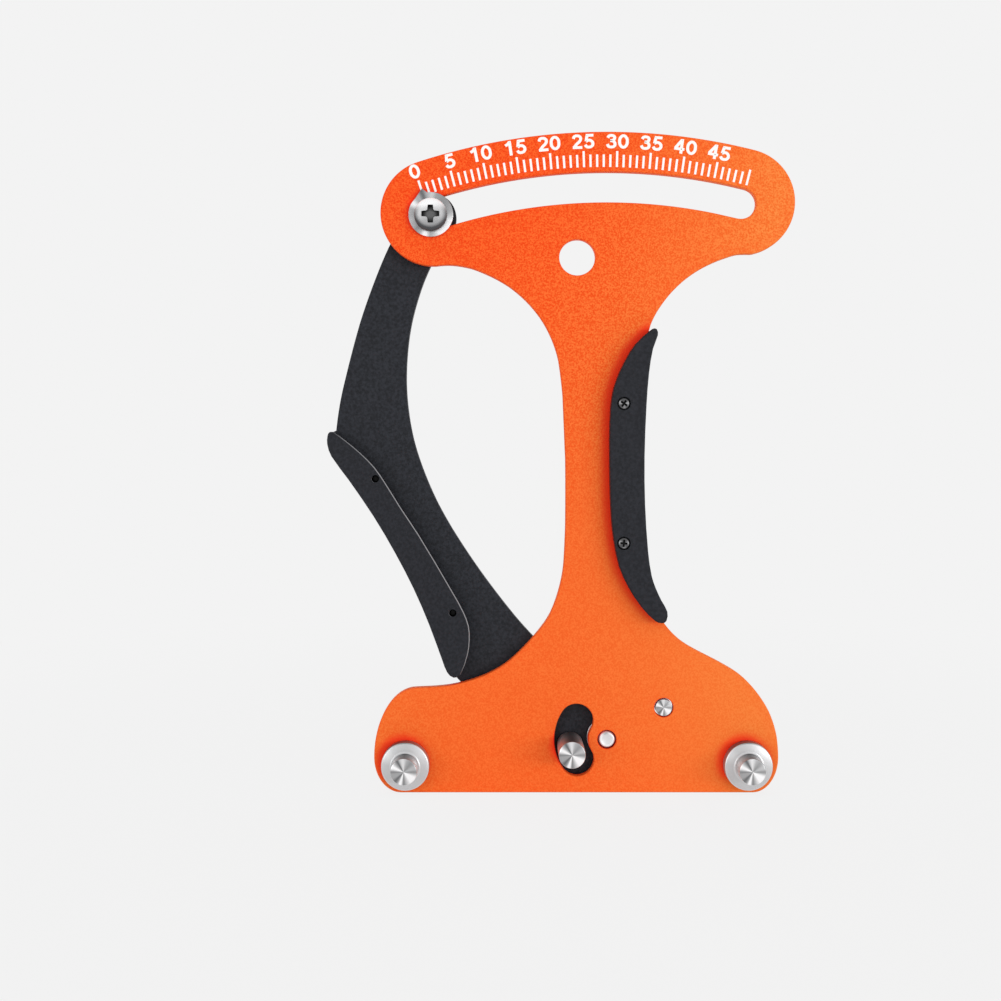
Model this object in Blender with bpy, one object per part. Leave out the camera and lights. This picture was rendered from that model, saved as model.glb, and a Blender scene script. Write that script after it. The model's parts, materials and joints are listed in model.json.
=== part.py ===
# Spoke tension meter: a face plate with a curved scale head, a sprung lever behind it, three posts that
# bend the spoke, and the fasteners and grips that hold them.
# The tool stands upright, +Z up, and its front faces -Y. The world origin is the centre of the hang hole,
# halfway through the face plate. Inside the model, (across, up) places count from the pivot's axis.

import math

import bmesh
import bpy
from mathutils import Vector
from mathutils.geometry import interpolate_bezier

MM = 0.001

# Clearances
SEAT_GAP = 0.3 * MM  # between pieces that bear on each other
HOLE_GAP = 0.3 * MM  # between a shank and the wall of its hole, all round
CUT_OVERRUN = 1.0 * MM  # how far a cutter runs past the face that it opens

# Head of the plate and its pointer slot
SLOT_RADIUS = 159.8 * MM  # from the pivot to the middle of the slot
HEAD_ABOVE_SLOT = 0.6 * MM  # the middle of the head's band lies this far outside the slot's
HEAD_HALF_WIDTH = 15.4 * MM
HEAD_LEFT_DEG = -18.2  # turned from straight up, clockwise as seen from the front
HEAD_RIGHT_DEG = 14.1
LEFT_LOBE_FROM_DEG = -182.0
RIGHT_LOBE_TO_DEG = 170.0
SLOT_HALF_WIDTH = 4.42 * MM
POINTER_REST_DEG = -18.56
POINTER_SWEEP_DEG = 32.6
HANG_HOLE_RADIUS = 5.2 * MM
HANG_HOLE_BELOW_SLOT = 20.1 * MM
HANG_HOLE_DEG = -3.51

# Narrowest part of the waist, on each side of the pivot's axis
WAIST_LEFT = 11.94 * MM
WAIST_RIGHT = 9.62 * MM

# Base of the plate and its fixed posts
POST_LEFT_REACH = 58.1 * MM
POST_RIGHT_REACH = 40.4 * MM
POST_DROP = 7.0 * MM  # the fixed posts lie this far below the pivot
POST_RIM = 9.2 * MM  # from a fixed post's axis to the plate's end
BASE_BELOW_POSTS = 8.3 * MM
BASE_WIDEST_ABOVE_POSTS = 1.9 * MM
LEFT_SHOULDER_ACROSS = 12.3 * MM
LEFT_SHOULDER_RISE = 20.1 * MM
LEFT_CORNER_ACROSS = 7.8 * MM
RIGHT_CORNER_ACROSS = 7.4 * MM

# Thicknesses, from the front to the back
PLATE_THICKNESS = 3.0 * MM
SPACER_THICKNESS = 0.6 * MM
LEVER_THICKNESS = 3.0 * MM
BACK_WASHER_THICKNESS = 0.6 * MM
GRIP_THICKNESS = 4.2 * MM
PLATE_EDGE = 0.25 * MM  # chamfer round the plate's and the lever's edges
GRIP_EDGE = 0.3 * MM

# Fixed posts and the centre post
FLANGE_RADIUS = 6.9 * MM
FLANGE_THICKNESS = 3.6 * MM
FLANGE_CHAMFER = 0.35 * MM
POST_RADIUS = 3.8 * MM
POST_SHAFT_LENGTH = 6.0 * MM  # in front of the flange
POST_CHAMFER = 0.4 * MM
CENTRE_POST_RADIUS = 3.8 * MM
CENTRE_POST_ARM = 10.75 * MM  # from the pivot's axis
CENTRE_POST_REST_DEG = -102.1
POST_SCREW_RADIUS = 1.5 * MM
POST_SCREW_HEAD_RADIUS = 3.2 * MM
POST_SCREW_HEAD_THICKNESS = 1.8 * MM
POST_SCREW_REACH = 6.0 * MM  # into the post
POST_SOCKET_ACROSS = 2.5 * MM
POST_SOCKET_DEPTH = 1.0 * MM

# Window that the centre post stands in
WINDOW_INSIDE_ARM = 0.4 * MM  # its middle line lies this far inside the post's path
WINDOW_CLEARANCE = 1.05 * MM  # between the post and the window's sides, were the post in the middle
WINDOW_FROM_DEG = -123.6
WINDOW_TO_DEG = -58.0

# Pivot
PIVOT_PIN_RADIUS = 2.4 * MM
PIVOT_PIN_RECESS = 0.3 * MM  # its front end lies this far inside the plate's face
PIVOT_PIN_HEAD_RADIUS = 4.2 * MM
PIVOT_PIN_HEAD_THICKNESS = 1.8 * MM
PIVOT_PIN_CHAMFER = 0.6 * MM
PIVOT_SOCKET_ACROSS = 3.0 * MM
PIVOT_SOCKET_DEPTH = 1.0 * MM
SPACER_RADIUS = 5.6 * MM
BACK_WASHER_RADIUS = 4.5 * MM

# Lever
HUB_RADIUS = 15.0 * MM
POINTER_END_RADIUS = 7.2 * MM

# Pointer
POINTER_SCREW_RADIUS = 2.0 * MM
POINTER_SCREW_HEAD_RADIUS = 4.75 * MM
POINTER_SCREW_HEAD_THICKNESS = 2.6 * MM
POINTER_SCREW_OVERHANG = 0.6 * MM  # past the nut
POINTER_WASHER_RADIUS = 6.6 * MM
POINTER_WASHER_THICKNESS = 0.8 * MM
POINTER_TIP_REACH = 8.1 * MM  # from the screw's axis
POINTER_TIP_LEFT_DEG = 26.0
POINTER_TIP_RIGHT_DEG = 9.0
POINTER_NUT_ACROSS = 7.0 * MM
POINTER_NUT_THICKNESS = 3.0 * MM
POINTER_CROSS_LENGTH = 5.2 * MM
POINTER_CROSS_WIDTH = 2.0 * MM
POINTER_CROSS_DEPTH = 1.5 * MM

# Grips and their screws
GRIP_SCREW_RADIUS = 0.8 * MM
GRIP_SCREW_HEAD_RADIUS = 1.65 * MM
GRIP_SCREW_HEAD_THICKNESS = 1.1 * MM
GRIP_SCREW_SUNK = 0.2 * MM  # the head's top lies this far inside the grip's face
GRIP_CROSS_LENGTH = 2.0 * MM
GRIP_CROSS_WIDTH = 0.6 * MM
GRIP_CROSS_DEPTH = 0.6 * MM
GRIP_NUT_ACROSS = 4.0 * MM
GRIP_NUT_THICKNESS = 1.6 * MM
LEFT_SCREW_END_SUNK = 1.5 * MM
LEFT_GRIP_BACK_WIDER = 1.6 * MM  # the left grip's back half reaches this far further over the lever
LEFT_GRIP_WIDER_DEG = 58.0
CROSS_END_SHARE = 0.75  # a recess arm's width at its end, of its width at its root

# Return spring and its two pins
SPRING_WIRE = 1.0 * MM
SPRING_RADIUS = 2.3 * MM  # to the middle of the wire
SPRING_TURNS = 8
SPRING_PITCH = 1.5 * MM
SPRING_BEHIND_LEVER = 0.6 * MM
ANCHOR_PIN_ACROSS = 16.45 * MM
ANCHOR_PIN_RISE = 9.25 * MM
ANCHOR_PIN_RADIUS = 2.4 * MM
HOOK_PIN_ACROSS = 7.2 * MM
HOOK_PIN_DROP = 8.7 * MM
HOOK_PIN_FLANGE_RADIUS = 2.4 * MM
HOOK_PIN_SUNK = 0.3 * MM  # its front end lies this far inside the lever's face
SPRING_NECK_RADIUS = 1.5 * MM
SPRING_NECK_PLAY = 0.3 * MM  # on each side of the wire
PIN_HEAD_THICKNESS = 0.8 * MM

# Smoothness
FACET_SAG = 0.04 * MM  # how far an arc's flat facets may lie inside its true curve
RUN_STEPS = 2  # stretches between two hand-chosen points
SPRING_POINTS_PER_TURN = 10
SPRING_HOOK_STEPS = 7
SPRING_HOOK_STEP_DEG = 30.0
SPRING_LEAD_STEPS = 4
SMOOTH_BELOW_DEG = 30.0
MERGE_SHARE = 0.001  # points closer than this share of a seat's gap are one

# Edges of the waist, from its narrowest part: (share of the way out to the head's lobe or to the base's
# end, share up), chosen by hand
LEFT_WAIST_DOWN_SHARES = (
    (0.0, 0.4564),
    (0.0108, 0.3155),
    (0.0535, 0.2506),
    (0.1167, 0.2076),
    (0.2912, 0.1428),
    (0.4371, 0.1139),
    (0.6109, 0.0975),
)
LEFT_WAIST_UP_SHARES = (
    (0.0094, 0.5536),
    (0.054, 0.6833),
    (0.193, 0.7606),
    (0.424, 0.8160),
    (0.659, 0.8450),
    (0.769, 0.8525),
    (0.886, 0.8557),
)
RIGHT_WAIST_DOWN_SHARES = (
    (0.0, 0.4850),
    (0.0108, 0.3770),
    (0.0473, 0.2870),
    (0.1118, 0.2346),
    (0.2351, 0.1914),
    (0.3512, 0.1685),
    (0.5248, 0.1458),
    (0.6986, 0.1209),
    (0.8147, 0.0941),
    (0.9305, 0.0512),
    (0.9885, 0.0052),
)
RIGHT_WAIST_UP_SHARES = (
    (0.0051, 0.5930),
    (0.0336, 0.6800),
    (0.1049, 0.7481),
    (0.2407, 0.7910),
    (0.3975, 0.8222),
    (0.5550, 0.8441),
    (0.7121, 0.8595),
    (0.8435, 0.8688),
    (0.9576, 0.8748),
)

# Outlines of the lever and the grips, as (share across, share up) from the pivot's axis, chosen by hand
LEVER_LEFT_SHARES = (
    (-0.3965, 0.8885),
    (-0.4235, 0.8230),
    (-0.4485, 0.7502),
    (-0.4714, 0.6628),
    (-0.4857, 0.5973),
    (-0.4901, 0.5208),
    (-0.4646, 0.4752),
    (-0.4027, 0.3806),
    (-0.3554, 0.2987),
    (-0.3136, 0.2022),
    (-0.2825, 0.1239),
    (-0.2623, 0.0976),
    (-0.2097, 0.0511),
    (-0.1369, -0.0163),
)
LEVER_RIGHT_SHARES = (
    (-0.0896, 0.1476),
    (-0.1324, 0.1821),
    (-0.1886, 0.2477),
    (-0.2520, 0.3351),
    (-0.3046, 0.4225),
    (-0.3408, 0.5099),
    (-0.3567, 0.5754),
    (-0.3631, 0.6482),
    (-0.3577, 0.7284),
    (-0.3430, 0.7939),
    (-0.3193, 0.8558),
)
HUB_FROM_DEG = 220.7
HUB_TO_DEG = -8.0
POINTER_END_FROM_DEG = 111.0
POINTER_END_TO_DEG = -69.0
LEFT_GRIP_OUTER_SHARES = (
    (-0.4995, 0.5545),
    (-0.5035, 0.5480),
    (-0.5040, 0.5319),
    (-0.4964, 0.5103),
    (-0.4647, 0.4670),
    (-0.4205, 0.4022),
    (-0.3822, 0.3373),
    (-0.3485, 0.2724),
    (-0.3205, 0.2076),
    (-0.2966, 0.1427),
    (-0.2879, 0.1211),
    (-0.2762, 0.1115),
    (-0.2640, 0.1170),
)
LEFT_GRIP_INNER_SHARES = (
    (-0.2505, 0.1537),
    (-0.2472, 0.1795),
    (-0.2488, 0.2050),
    (-0.2584, 0.2308),
    (-0.2778, 0.2663),
    (-0.3389, 0.3692),
    (-0.3710, 0.4175),
    (-0.4000, 0.4641),
    (-0.4193, 0.4915),
    (-0.4450, 0.5173),
    (-0.4741, 0.5413),
    (-0.4920, 0.5535),
)
RIGHT_GRIP_SHARES = (
    (1.320, 0.7383),
    (1.453, 0.7379),
    (1.483, 0.7270),
    (1.340, 0.7031),
    (1.223, 0.6603),
    (1.146, 0.6016),
    (1.089, 0.5107),
    (1.104, 0.4252),
    (1.196, 0.3397),
    (1.303, 0.2969),
    (1.423, 0.2755),
    (1.587, 0.2541),
    (1.765, 0.2341),
    (1.738, 0.2172),
    (1.604, 0.2132),
    (1.411, 0.2169),
    (1.023, 0.2401),
    (0.637, 0.2748),
    (0.345, 0.3135),
    (0.185, 0.3598),
    (0.107, 0.4024),
    (0.068, 0.4603),
    (0.056, 0.5181),
    (0.068, 0.5723),
    (0.121, 0.6147),
    (0.250, 0.6457),
    (0.509, 0.6805),
    (0.830, 0.7114),
)
LEFT_GRIP_SCREW_SHARES = ((-0.4173, 0.4702), (-0.2778, 0.2283))
RIGHT_GRIP_SCREW_SHARES = ((0.474, 0.6052), (0.470, 0.3559))
LEVELS = ("upper", "lower")

# Colours: red, green, blue, then roughness and metallic
LOOKS = {
    "orange paint": ((0.90, 0.13, 0.02), 0.45, 0.0),
    "dark paint": ((0.030, 0.034, 0.038), 0.50, 0.0),
    "dark plastic": ((0.026, 0.026, 0.027), 0.45, 0.0),
    "turned steel": ((0.62, 0.61, 0.60), 0.25, 1.0),
    "black steel": ((0.02, 0.02, 0.02), 0.35, 0.6),
    "spring steel": ((0.35, 0.35, 0.36), 0.30, 1.0),
}

# What follows from the sizes above
PLATE_FRONT = -PLATE_THICKNESS / 2
PLATE_BACK = PLATE_THICKNESS / 2
LEVER_FRONT = PLATE_BACK + SEAT_GAP + SPACER_THICKNESS + SEAT_GAP
LEVER_BACK = LEVER_FRONT + LEVER_THICKNESS
POST_TIP = PLATE_FRONT - SEAT_GAP - FLANGE_THICKNESS - POST_SHAFT_LENGTH
SPRING_DEPTH = LEVER_BACK + SPRING_BEHIND_LEVER + SPRING_RADIUS + SPRING_WIRE / 2
SPRING_HEAD_FRONT = SPRING_DEPTH + SPRING_WIRE / 2 + SPRING_NECK_PLAY
HEAD_RADIUS = SLOT_RADIUS + HEAD_ABOVE_SLOT
LEFT_REACH = POST_LEFT_REACH + POST_RIM
RIGHT_REACH = POST_RIGHT_REACH + POST_RIM
BASE_DROP = POST_DROP + BASE_BELOW_POSTS
BASE_WIDEST = BASE_WIDEST_ABOVE_POSTS - POST_DROP
HANG_HOLE_ARM = SLOT_RADIUS - HANG_HOLE_BELOW_SLOT
WINDOW_ARM = CENTRE_POST_ARM - WINDOW_INSIDE_ARM
WINDOW_HALF_WIDTH = CENTRE_POST_RADIUS + WINDOW_CLEARANCE
GRIP_BORE = GRIP_SCREW_RADIUS + HOLE_GAP
HEAD_SEAT_RADIUS = GRIP_SCREW_HEAD_RADIUS + HOLE_GAP
HEAD_SINK = GRIP_SCREW_SUNK + GRIP_SCREW_HEAD_THICKNESS + SEAT_GAP


def polar(radius, turned_deg, centre=(0, 0)):
    """The place at this radius, turned clockwise from straight up as seen from the front."""
    turned = math.radians(turned_deg)
    return Vector((centre[0] + radius * math.sin(turned), centre[1] + radius * math.cos(turned)))


HANG_HOLE = polar(HANG_HOLE_ARM, HANG_HOLE_DEG)
PIVOT = Vector((-HANG_HOLE.x, 0, -HANG_HOLE.y))
LEFT_LOBE = polar(HEAD_RADIUS, HEAD_LEFT_DEG)
RIGHT_LOBE = polar(HEAD_RADIUS, HEAD_RIGHT_DEG)
POINTER = polar(SLOT_RADIUS, POINTER_REST_DEG)
CENTRE_POST = polar(CENTRE_POST_ARM, CENTRE_POST_REST_DEG)
LEFT_POST = Vector((-POST_LEFT_REACH, -POST_DROP))
RIGHT_POST = Vector((POST_RIGHT_REACH, -POST_DROP))
ANCHOR_PIN = Vector((ANCHOR_PIN_ACROSS, ANCHOR_PIN_RISE))
HOOK_PIN = Vector((HOOK_PIN_ACROSS, -HOOK_PIN_DROP))


# Outlines

def facets(radius, swept_deg=360.0):
    """How many flat facets keep an arc close to its true curve."""
    facet = 2 * math.acos(1 - FACET_SAG / radius)
    return math.ceil(math.radians(abs(swept_deg)) / facet)


def arc(radius, from_deg, to_deg, centre=(0, 0), rise=None):
    """Points along an arc, or along an ellipse's arc where rise gives its half height."""
    tall = radius if rise is None else rise
    count = facets(max(radius, tall), to_deg - from_deg)
    turns = [math.radians(from_deg + (to_deg - from_deg) * i / count) for i in range(count + 1)]
    return [Vector((centre[0] + radius * math.sin(a), centre[1] + tall * math.cos(a))) for a in turns]


def circle(radius, centre=(0, 0), sides=None):
    sides = sides or facets(radius)
    return [polar(radius, 360 * i / sides, centre) for i in range(sides)]


def curved_slot(middle, half_width, from_deg, to_deg):
    """The outline of a slot that follows a circle round the pivot, with round ends."""
    start = polar(middle, from_deg)
    stop = polar(middle, to_deg)
    outer = arc(middle + half_width, from_deg, to_deg)
    inner = arc(middle - half_width, to_deg, from_deg)
    far_end = arc(half_width, to_deg, to_deg + 180, stop)
    near_end = arc(half_width, from_deg + 180, from_deg + 360, start)
    return outer + far_end[1:-1] + inner + near_end[1:-1]


def smooth_run(points, closed=False):
    """A smooth line through points chosen by hand, without its last point where it is closed."""
    around = [points[-1], *points, points[0], points[1]] if closed else [points[0], *points, points[-1]]
    run = []
    for before, start, stop, after in zip(around, around[1:], around[2:], around[3:]):
        reach = (stop - start).length / 3
        lead = (stop - before).normalized() * reach
        tail = (after - start).normalized() * reach
        run += interpolate_bezier(start, start + lead, stop - tail, stop, RUN_STEPS + 1)[:-1]
    return run if closed else run + [points[-1]]


def places(shares, across, up, start=0):
    """Places that run from start, across, by their shares of the way to a reach."""
    return [Vector((start + out * (across - start), share_up * up)) for out, share_up in shares]


def head_outline():
    """The top of the plate: its outer arc between two round ends."""
    outer = HEAD_RADIUS + HEAD_HALF_WIDTH
    left = arc(HEAD_HALF_WIDTH, LEFT_LOBE_FROM_DEG, HEAD_LEFT_DEG, LEFT_LOBE)
    right = arc(HEAD_HALF_WIDTH, HEAD_RIGHT_DEG, RIGHT_LOBE_TO_DEG, RIGHT_LOBE)
    return left[:-1] + arc(outer, HEAD_LEFT_DEG, HEAD_RIGHT_DEG) + right[1:]


def waist_edge(down_shares, up_shares, narrowest, base, lobe):
    """One edge of the waist, from the base up to the head, through its narrowest part."""
    below = places(down_shares, base, HEAD_RADIUS, narrowest)
    above = places(up_shares, lobe, HEAD_RADIUS, narrowest)
    return below[::-1] + above


def plate_outline():
    head = head_outline()
    left_corner_rise = BASE_DROP + BASE_WIDEST
    right_corner = Vector((RIGHT_REACH - RIGHT_CORNER_ACROSS, BASE_WIDEST))
    left_corner = Vector((LEFT_CORNER_ACROSS - LEFT_REACH, BASE_WIDEST))
    left_shoulder = Vector((LEFT_SHOULDER_ACROSS - LEFT_REACH, BASE_WIDEST))
    right_bottom = arc(RIGHT_CORNER_ACROSS, 90, 180, right_corner, left_corner_rise)
    left_bottom = arc(LEFT_CORNER_ACROSS, 180, 270, left_corner, left_corner_rise)
    shoulder = arc(LEFT_SHOULDER_ACROSS, 270, 360, left_shoulder, LEFT_SHOULDER_RISE)
    left = waist_edge(LEFT_WAIST_DOWN_SHARES, LEFT_WAIST_UP_SHARES, -WAIST_LEFT, -LEFT_REACH, LEFT_LOBE.x)
    right = waist_edge(RIGHT_WAIST_DOWN_SHARES, RIGHT_WAIST_UP_SHARES, WAIST_RIGHT, RIGHT_REACH, RIGHT_LOBE.x)
    rising = smooth_run([shoulder[-1], *left, head[0]])
    falling = smooth_run([head[-1], *reversed(right), right_bottom[0]])
    return head + falling[1:-1] + right_bottom + left_bottom + shoulder[1:] + rising[1:-1]


def lever_outline():
    hub = arc(HUB_RADIUS, HUB_FROM_DEG, HUB_TO_DEG)
    tip = arc(POINTER_END_RADIUS, POINTER_END_FROM_DEG, POINTER_END_TO_DEG, POINTER)
    left = places(LEVER_LEFT_SHARES, HEAD_RADIUS, HEAD_RADIUS)
    right = places(LEVER_RIGHT_SHARES, HEAD_RADIUS, HEAD_RADIUS)
    falling = smooth_run([tip[-1], *left, hub[0]])
    rising = smooth_run([hub[-1], *right, tip[0]])
    return tip + falling[1:-1] + hub + rising[1:-1]


def pointer_outline():
    """The washer's rim with its short pointed tip, round the pointer screw's axis."""
    from_deg = POINTER_REST_DEG + POINTER_TIP_RIGHT_DEG
    rim = arc(POINTER_WASHER_RADIUS, from_deg, POINTER_REST_DEG - POINTER_TIP_LEFT_DEG + 360)
    return rim + [polar(POINTER_TIP_REACH, POINTER_REST_DEG)]


def hexagon(across_flats):
    return circle(across_flats / math.sqrt(3), sides=6)


def cross(length, width):
    """The outline of a cross recess, whose four arms narrow towards their ends."""
    half = width / 2
    end = half * CROSS_END_SHARE
    outline = []
    for quarter in range(4):
        turned = math.radians(-90 * quarter)
        for across, up in ((-end, length / 2), (end, length / 2), (half, half)):
            along = across * math.cos(turned) - up * math.sin(turned)
            outline.append(Vector((along, across * math.sin(turned) + up * math.cos(turned))))
    return outline


# Objects

def clear_scene():
    for obj in list(bpy.data.objects):
        bpy.data.objects.remove(obj)


def painted(obj, look):
    colour, roughness, metallic = LOOKS[look]
    material = bpy.data.materials.new(obj.name + "_finish")
    material.use_nodes = True
    shader = material.node_tree.nodes["Principled BSDF"]
    shader.inputs["Base Color"].default_value = (*colour, 1)
    shader.inputs["Roughness"].default_value = roughness
    shader.inputs["Metallic"].default_value = metallic
    obj.data.materials.append(material)


def placed(obj, carrier, place, look):
    """Puts the object at a place in the plane of its carrier, which stands on the pivot's axis."""
    bpy.context.scene.collection.objects.link(obj)
    obj.parent = carrier
    obj.location = (place[0], 0, place[1])
    painted(obj, look)
    return obj


def cleaned(mesh):
    shape = bmesh.new()
    shape.from_mesh(mesh)
    bmesh.ops.remove_doubles(shape, verts=shape.verts, dist=SEAT_GAP * MERGE_SHARE)
    bmesh.ops.recalc_face_normals(shape, faces=shape.faces)
    shape.to_mesh(mesh)
    shape.free()
    mesh.shade_smooth()
    mesh.set_sharp_from_angle(angle=math.radians(SMOOTH_BELOW_DEG))
    return mesh


def slab_mesh(name, loops, front, back, edge):
    """A flat piece between two depths: the first loop is its rim, and any others are its holes."""
    curve = bpy.data.curves.new(name, "CURVE")
    curve.dimensions = "2D"
    curve.fill_mode = "BOTH"
    curve.extrude = (back - front) / 2 - edge
    curve.bevel_depth = edge
    curve.bevel_resolution = 0
    curve.offset = -edge
    for loop in loops:
        spline = curve.splines.new("POLY")
        spline.points.add(len(loop) - 1)
        for point, place in zip(spline.points, loop):
            point.co = (place[0], place[1], 0, 1)
        spline.use_cyclic_u = True
    drawn = bpy.data.objects.new(name + "_drawn", curve)
    mesh = bpy.data.meshes.new_from_object(drawn)
    bpy.data.objects.remove(drawn)
    for vert in mesh.vertices:
        across, up, ahead = vert.co
        vert.co = (across, (front + back) / 2 - ahead, up)
    mesh.name = name
    return cleaned(mesh)


def turned_mesh(name, profile):
    """A turned piece: (radius, depth) points from one flat end to the other, both left open on the axis."""
    shape = bmesh.new()
    verts = [shape.verts.new((radius, depth, 0)) for radius, depth in profile]
    edges = [shape.edges.new(pair) for pair in zip(verts, verts[1:])]
    steps = facets(max(radius for radius, depth in profile))
    bmesh.ops.spin(
        shape, geom=verts + edges, cent=(0, 0, 0), axis=(0, 1, 0), angle=2 * math.pi, steps=steps, use_merge=True
    )
    bmesh.ops.holes_fill(shape, edges=shape.edges)
    mesh = bpy.data.meshes.new(name)
    shape.to_mesh(mesh)
    shape.free()
    return cleaned(mesh)


def slab(name, loops, front, back, carrier, look, edge=0, place=(0, 0)):
    return placed(bpy.data.objects.new(name, slab_mesh(name, loops, front, back, edge)), carrier, place, look)


def turned(name, profile, carrier, look, place=(0, 0)):
    return placed(bpy.data.objects.new(name, turned_mesh(name, profile)), carrier, place, look)


def cut(obj, mesh, carrier, place=(0, 0)):
    """Cuts a mesh away from the object, with a cutter that isn't rendered."""
    cutter = bpy.data.objects.new(mesh.name, mesh)
    bpy.context.scene.collection.objects.link(cutter)
    cutter.parent = carrier
    cutter.location = (place[0], 0, place[1])
    cutter.hide_render = True
    cutter.display_type = "WIRE"
    boolean = obj.modifiers.new(mesh.name, "BOOLEAN")
    boolean.operation = "DIFFERENCE"
    boolean.solver = "EXACT"
    boolean.object = cutter


def round_hole(obj, radius, front, back, carrier, place):
    """Cuts a round hole between two depths."""
    cut(obj, turned_mesh(obj.name + "_cut", ((radius, front), (radius, back))), carrier, place)


# Pieces on the plate

def face_plate(frame):
    slot = curved_slot(SLOT_RADIUS, SLOT_HALF_WIDTH, POINTER_REST_DEG, POINTER_REST_DEG + POINTER_SWEEP_DEG)
    window = curved_slot(WINDOW_ARM, WINDOW_HALF_WIDTH, WINDOW_FROM_DEG, WINDOW_TO_DEG)
    post_hole = POST_SCREW_RADIUS + HOLE_GAP
    holes = [slot, window, circle(HANG_HOLE_RADIUS, HANG_HOLE)]
    holes.append(circle(PIVOT_PIN_RADIUS + HOLE_GAP))
    holes.append(circle(ANCHOR_PIN_RADIUS + HOLE_GAP, ANCHOR_PIN))
    holes += [circle(post_hole, post) for post in (LEFT_POST, RIGHT_POST)]
    holes += [circle(GRIP_BORE, spot) for spot in places(RIGHT_GRIP_SCREW_SHARES, WAIST_RIGHT, HEAD_RADIUS)]
    slab("face_plate", [plate_outline(), *holes], PLATE_FRONT, PLATE_BACK, frame, "orange paint", PLATE_EDGE)


def post_profile(radius, foot, bore_end, flange_radius=None):
    """A post's profile from the blind end of its threaded bore round to the middle of its tip."""
    bore = POST_SCREW_RADIUS + HOLE_GAP
    profile = [(bore, bore_end), (bore, foot)]
    if flange_radius:
        flange_front = foot - FLANGE_THICKNESS
        profile += [(flange_radius, foot), (flange_radius, flange_front + FLANGE_CHAMFER)]
        profile += [(flange_radius - FLANGE_CHAMFER, flange_front), (radius, flange_front)]
    else:
        profile += [(radius, foot)]
    return profile + [(radius, POST_TIP + POST_CHAMFER), (radius - POST_CHAMFER, POST_TIP)]


def post_screw(name, seat, foot, carrier, place):
    """A button-headed socket screw whose head bears on the seat from behind."""
    head_front = seat + SEAT_GAP
    head_back = head_front + POST_SCREW_HEAD_THICKNESS
    rounding = POST_SCREW_HEAD_THICKNESS / 2
    profile = (
        (POST_SCREW_RADIUS, foot - POST_SCREW_REACH),
        (POST_SCREW_RADIUS, head_front),
        (POST_SCREW_HEAD_RADIUS, head_front),
        (POST_SCREW_HEAD_RADIUS, head_front + rounding),
        (POST_SCREW_HEAD_RADIUS - rounding, head_back),
    )
    screw = turned(name, profile, carrier, "black steel", place)
    socket = [hexagon(POST_SOCKET_ACROSS)]
    deep = head_back - POST_SOCKET_DEPTH
    cut(screw, slab_mesh(name + "_socket", socket, deep, head_back + CUT_OVERRUN, 0), carrier, place)


def fixed_posts(frame):
    foot = PLATE_FRONT - SEAT_GAP
    bore_end = foot - POST_SCREW_REACH - SEAT_GAP
    for side, place in (("left", LEFT_POST), ("right", RIGHT_POST)):
        profile = post_profile(POST_RADIUS, foot, bore_end, FLANGE_RADIUS)
        turned(side + "_fixed_post", profile, frame, "turned steel", place)
        post_screw(side + "_post_screw", PLATE_BACK, foot, frame, place)


def pivot(frame):
    washer_back = LEVER_BACK + SEAT_GAP + BACK_WASHER_THICKNESS
    head_front = washer_back + SEAT_GAP
    head_back = head_front + PIVOT_PIN_HEAD_THICKNESS
    front = PLATE_FRONT + PIVOT_PIN_RECESS
    profile = (
        (PIVOT_PIN_RADIUS, front),
        (PIVOT_PIN_RADIUS, head_front),
        (PIVOT_PIN_HEAD_RADIUS, head_front),
        (PIVOT_PIN_HEAD_RADIUS, head_back - PIVOT_PIN_CHAMFER),
        (PIVOT_PIN_HEAD_RADIUS - PIVOT_PIN_CHAMFER, head_back),
    )
    pin = turned("pivot_pin", profile, frame, "turned steel")
    socket = [hexagon(PIVOT_SOCKET_ACROSS)]
    cut(pin, slab_mesh("pivot_socket", socket, head_back - PIVOT_SOCKET_DEPTH, head_back + CUT_OVERRUN, 0), frame)
    bore = circle(PIVOT_PIN_RADIUS + HOLE_GAP)

    for name, radius, washer_front, thickness in (
        ("pivot_spacer_washer", SPACER_RADIUS, PLATE_BACK + SEAT_GAP, SPACER_THICKNESS),
        ("pivot_back_washer", BACK_WASHER_RADIUS, LEVER_BACK + SEAT_GAP, BACK_WASHER_THICKNESS),
    ):
        slab(name, [circle(radius), bore], washer_front, washer_front + thickness, frame, "turned steel")


def spring_head(radius):
    """The end of a spring pin's profile: its neck's back and its head."""
    back = SPRING_HEAD_FRONT + PIN_HEAD_THICKNESS
    return [(SPRING_NECK_RADIUS, SPRING_HEAD_FRONT), (radius, SPRING_HEAD_FRONT), (radius, back)]


def spring_pins(frame, lever):
    neck_front = SPRING_DEPTH - SPRING_WIRE / 2 - SPRING_NECK_PLAY
    profile = [(ANCHOR_PIN_RADIUS, PLATE_FRONT), (ANCHOR_PIN_RADIUS, neck_front)]
    profile += [(SPRING_NECK_RADIUS, neck_front), *spring_head(ANCHOR_PIN_RADIUS)]
    turned("spring_anchor_pin", profile, frame, "turned steel", ANCHOR_PIN)
    front = LEVER_FRONT + HOOK_PIN_SUNK
    seat = LEVER_BACK + SEAT_GAP
    profile = [(SPRING_NECK_RADIUS, front), (SPRING_NECK_RADIUS, seat)]
    profile += [(HOOK_PIN_FLANGE_RADIUS, seat), (HOOK_PIN_FLANGE_RADIUS, neck_front)]
    profile += [(SPRING_NECK_RADIUS, neck_front), *spring_head(HOOK_PIN_FLANGE_RADIUS)]
    turned("spring_hook_pin", profile, lever, "turned steel", HOOK_PIN)


# Pieces on the lever

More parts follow.
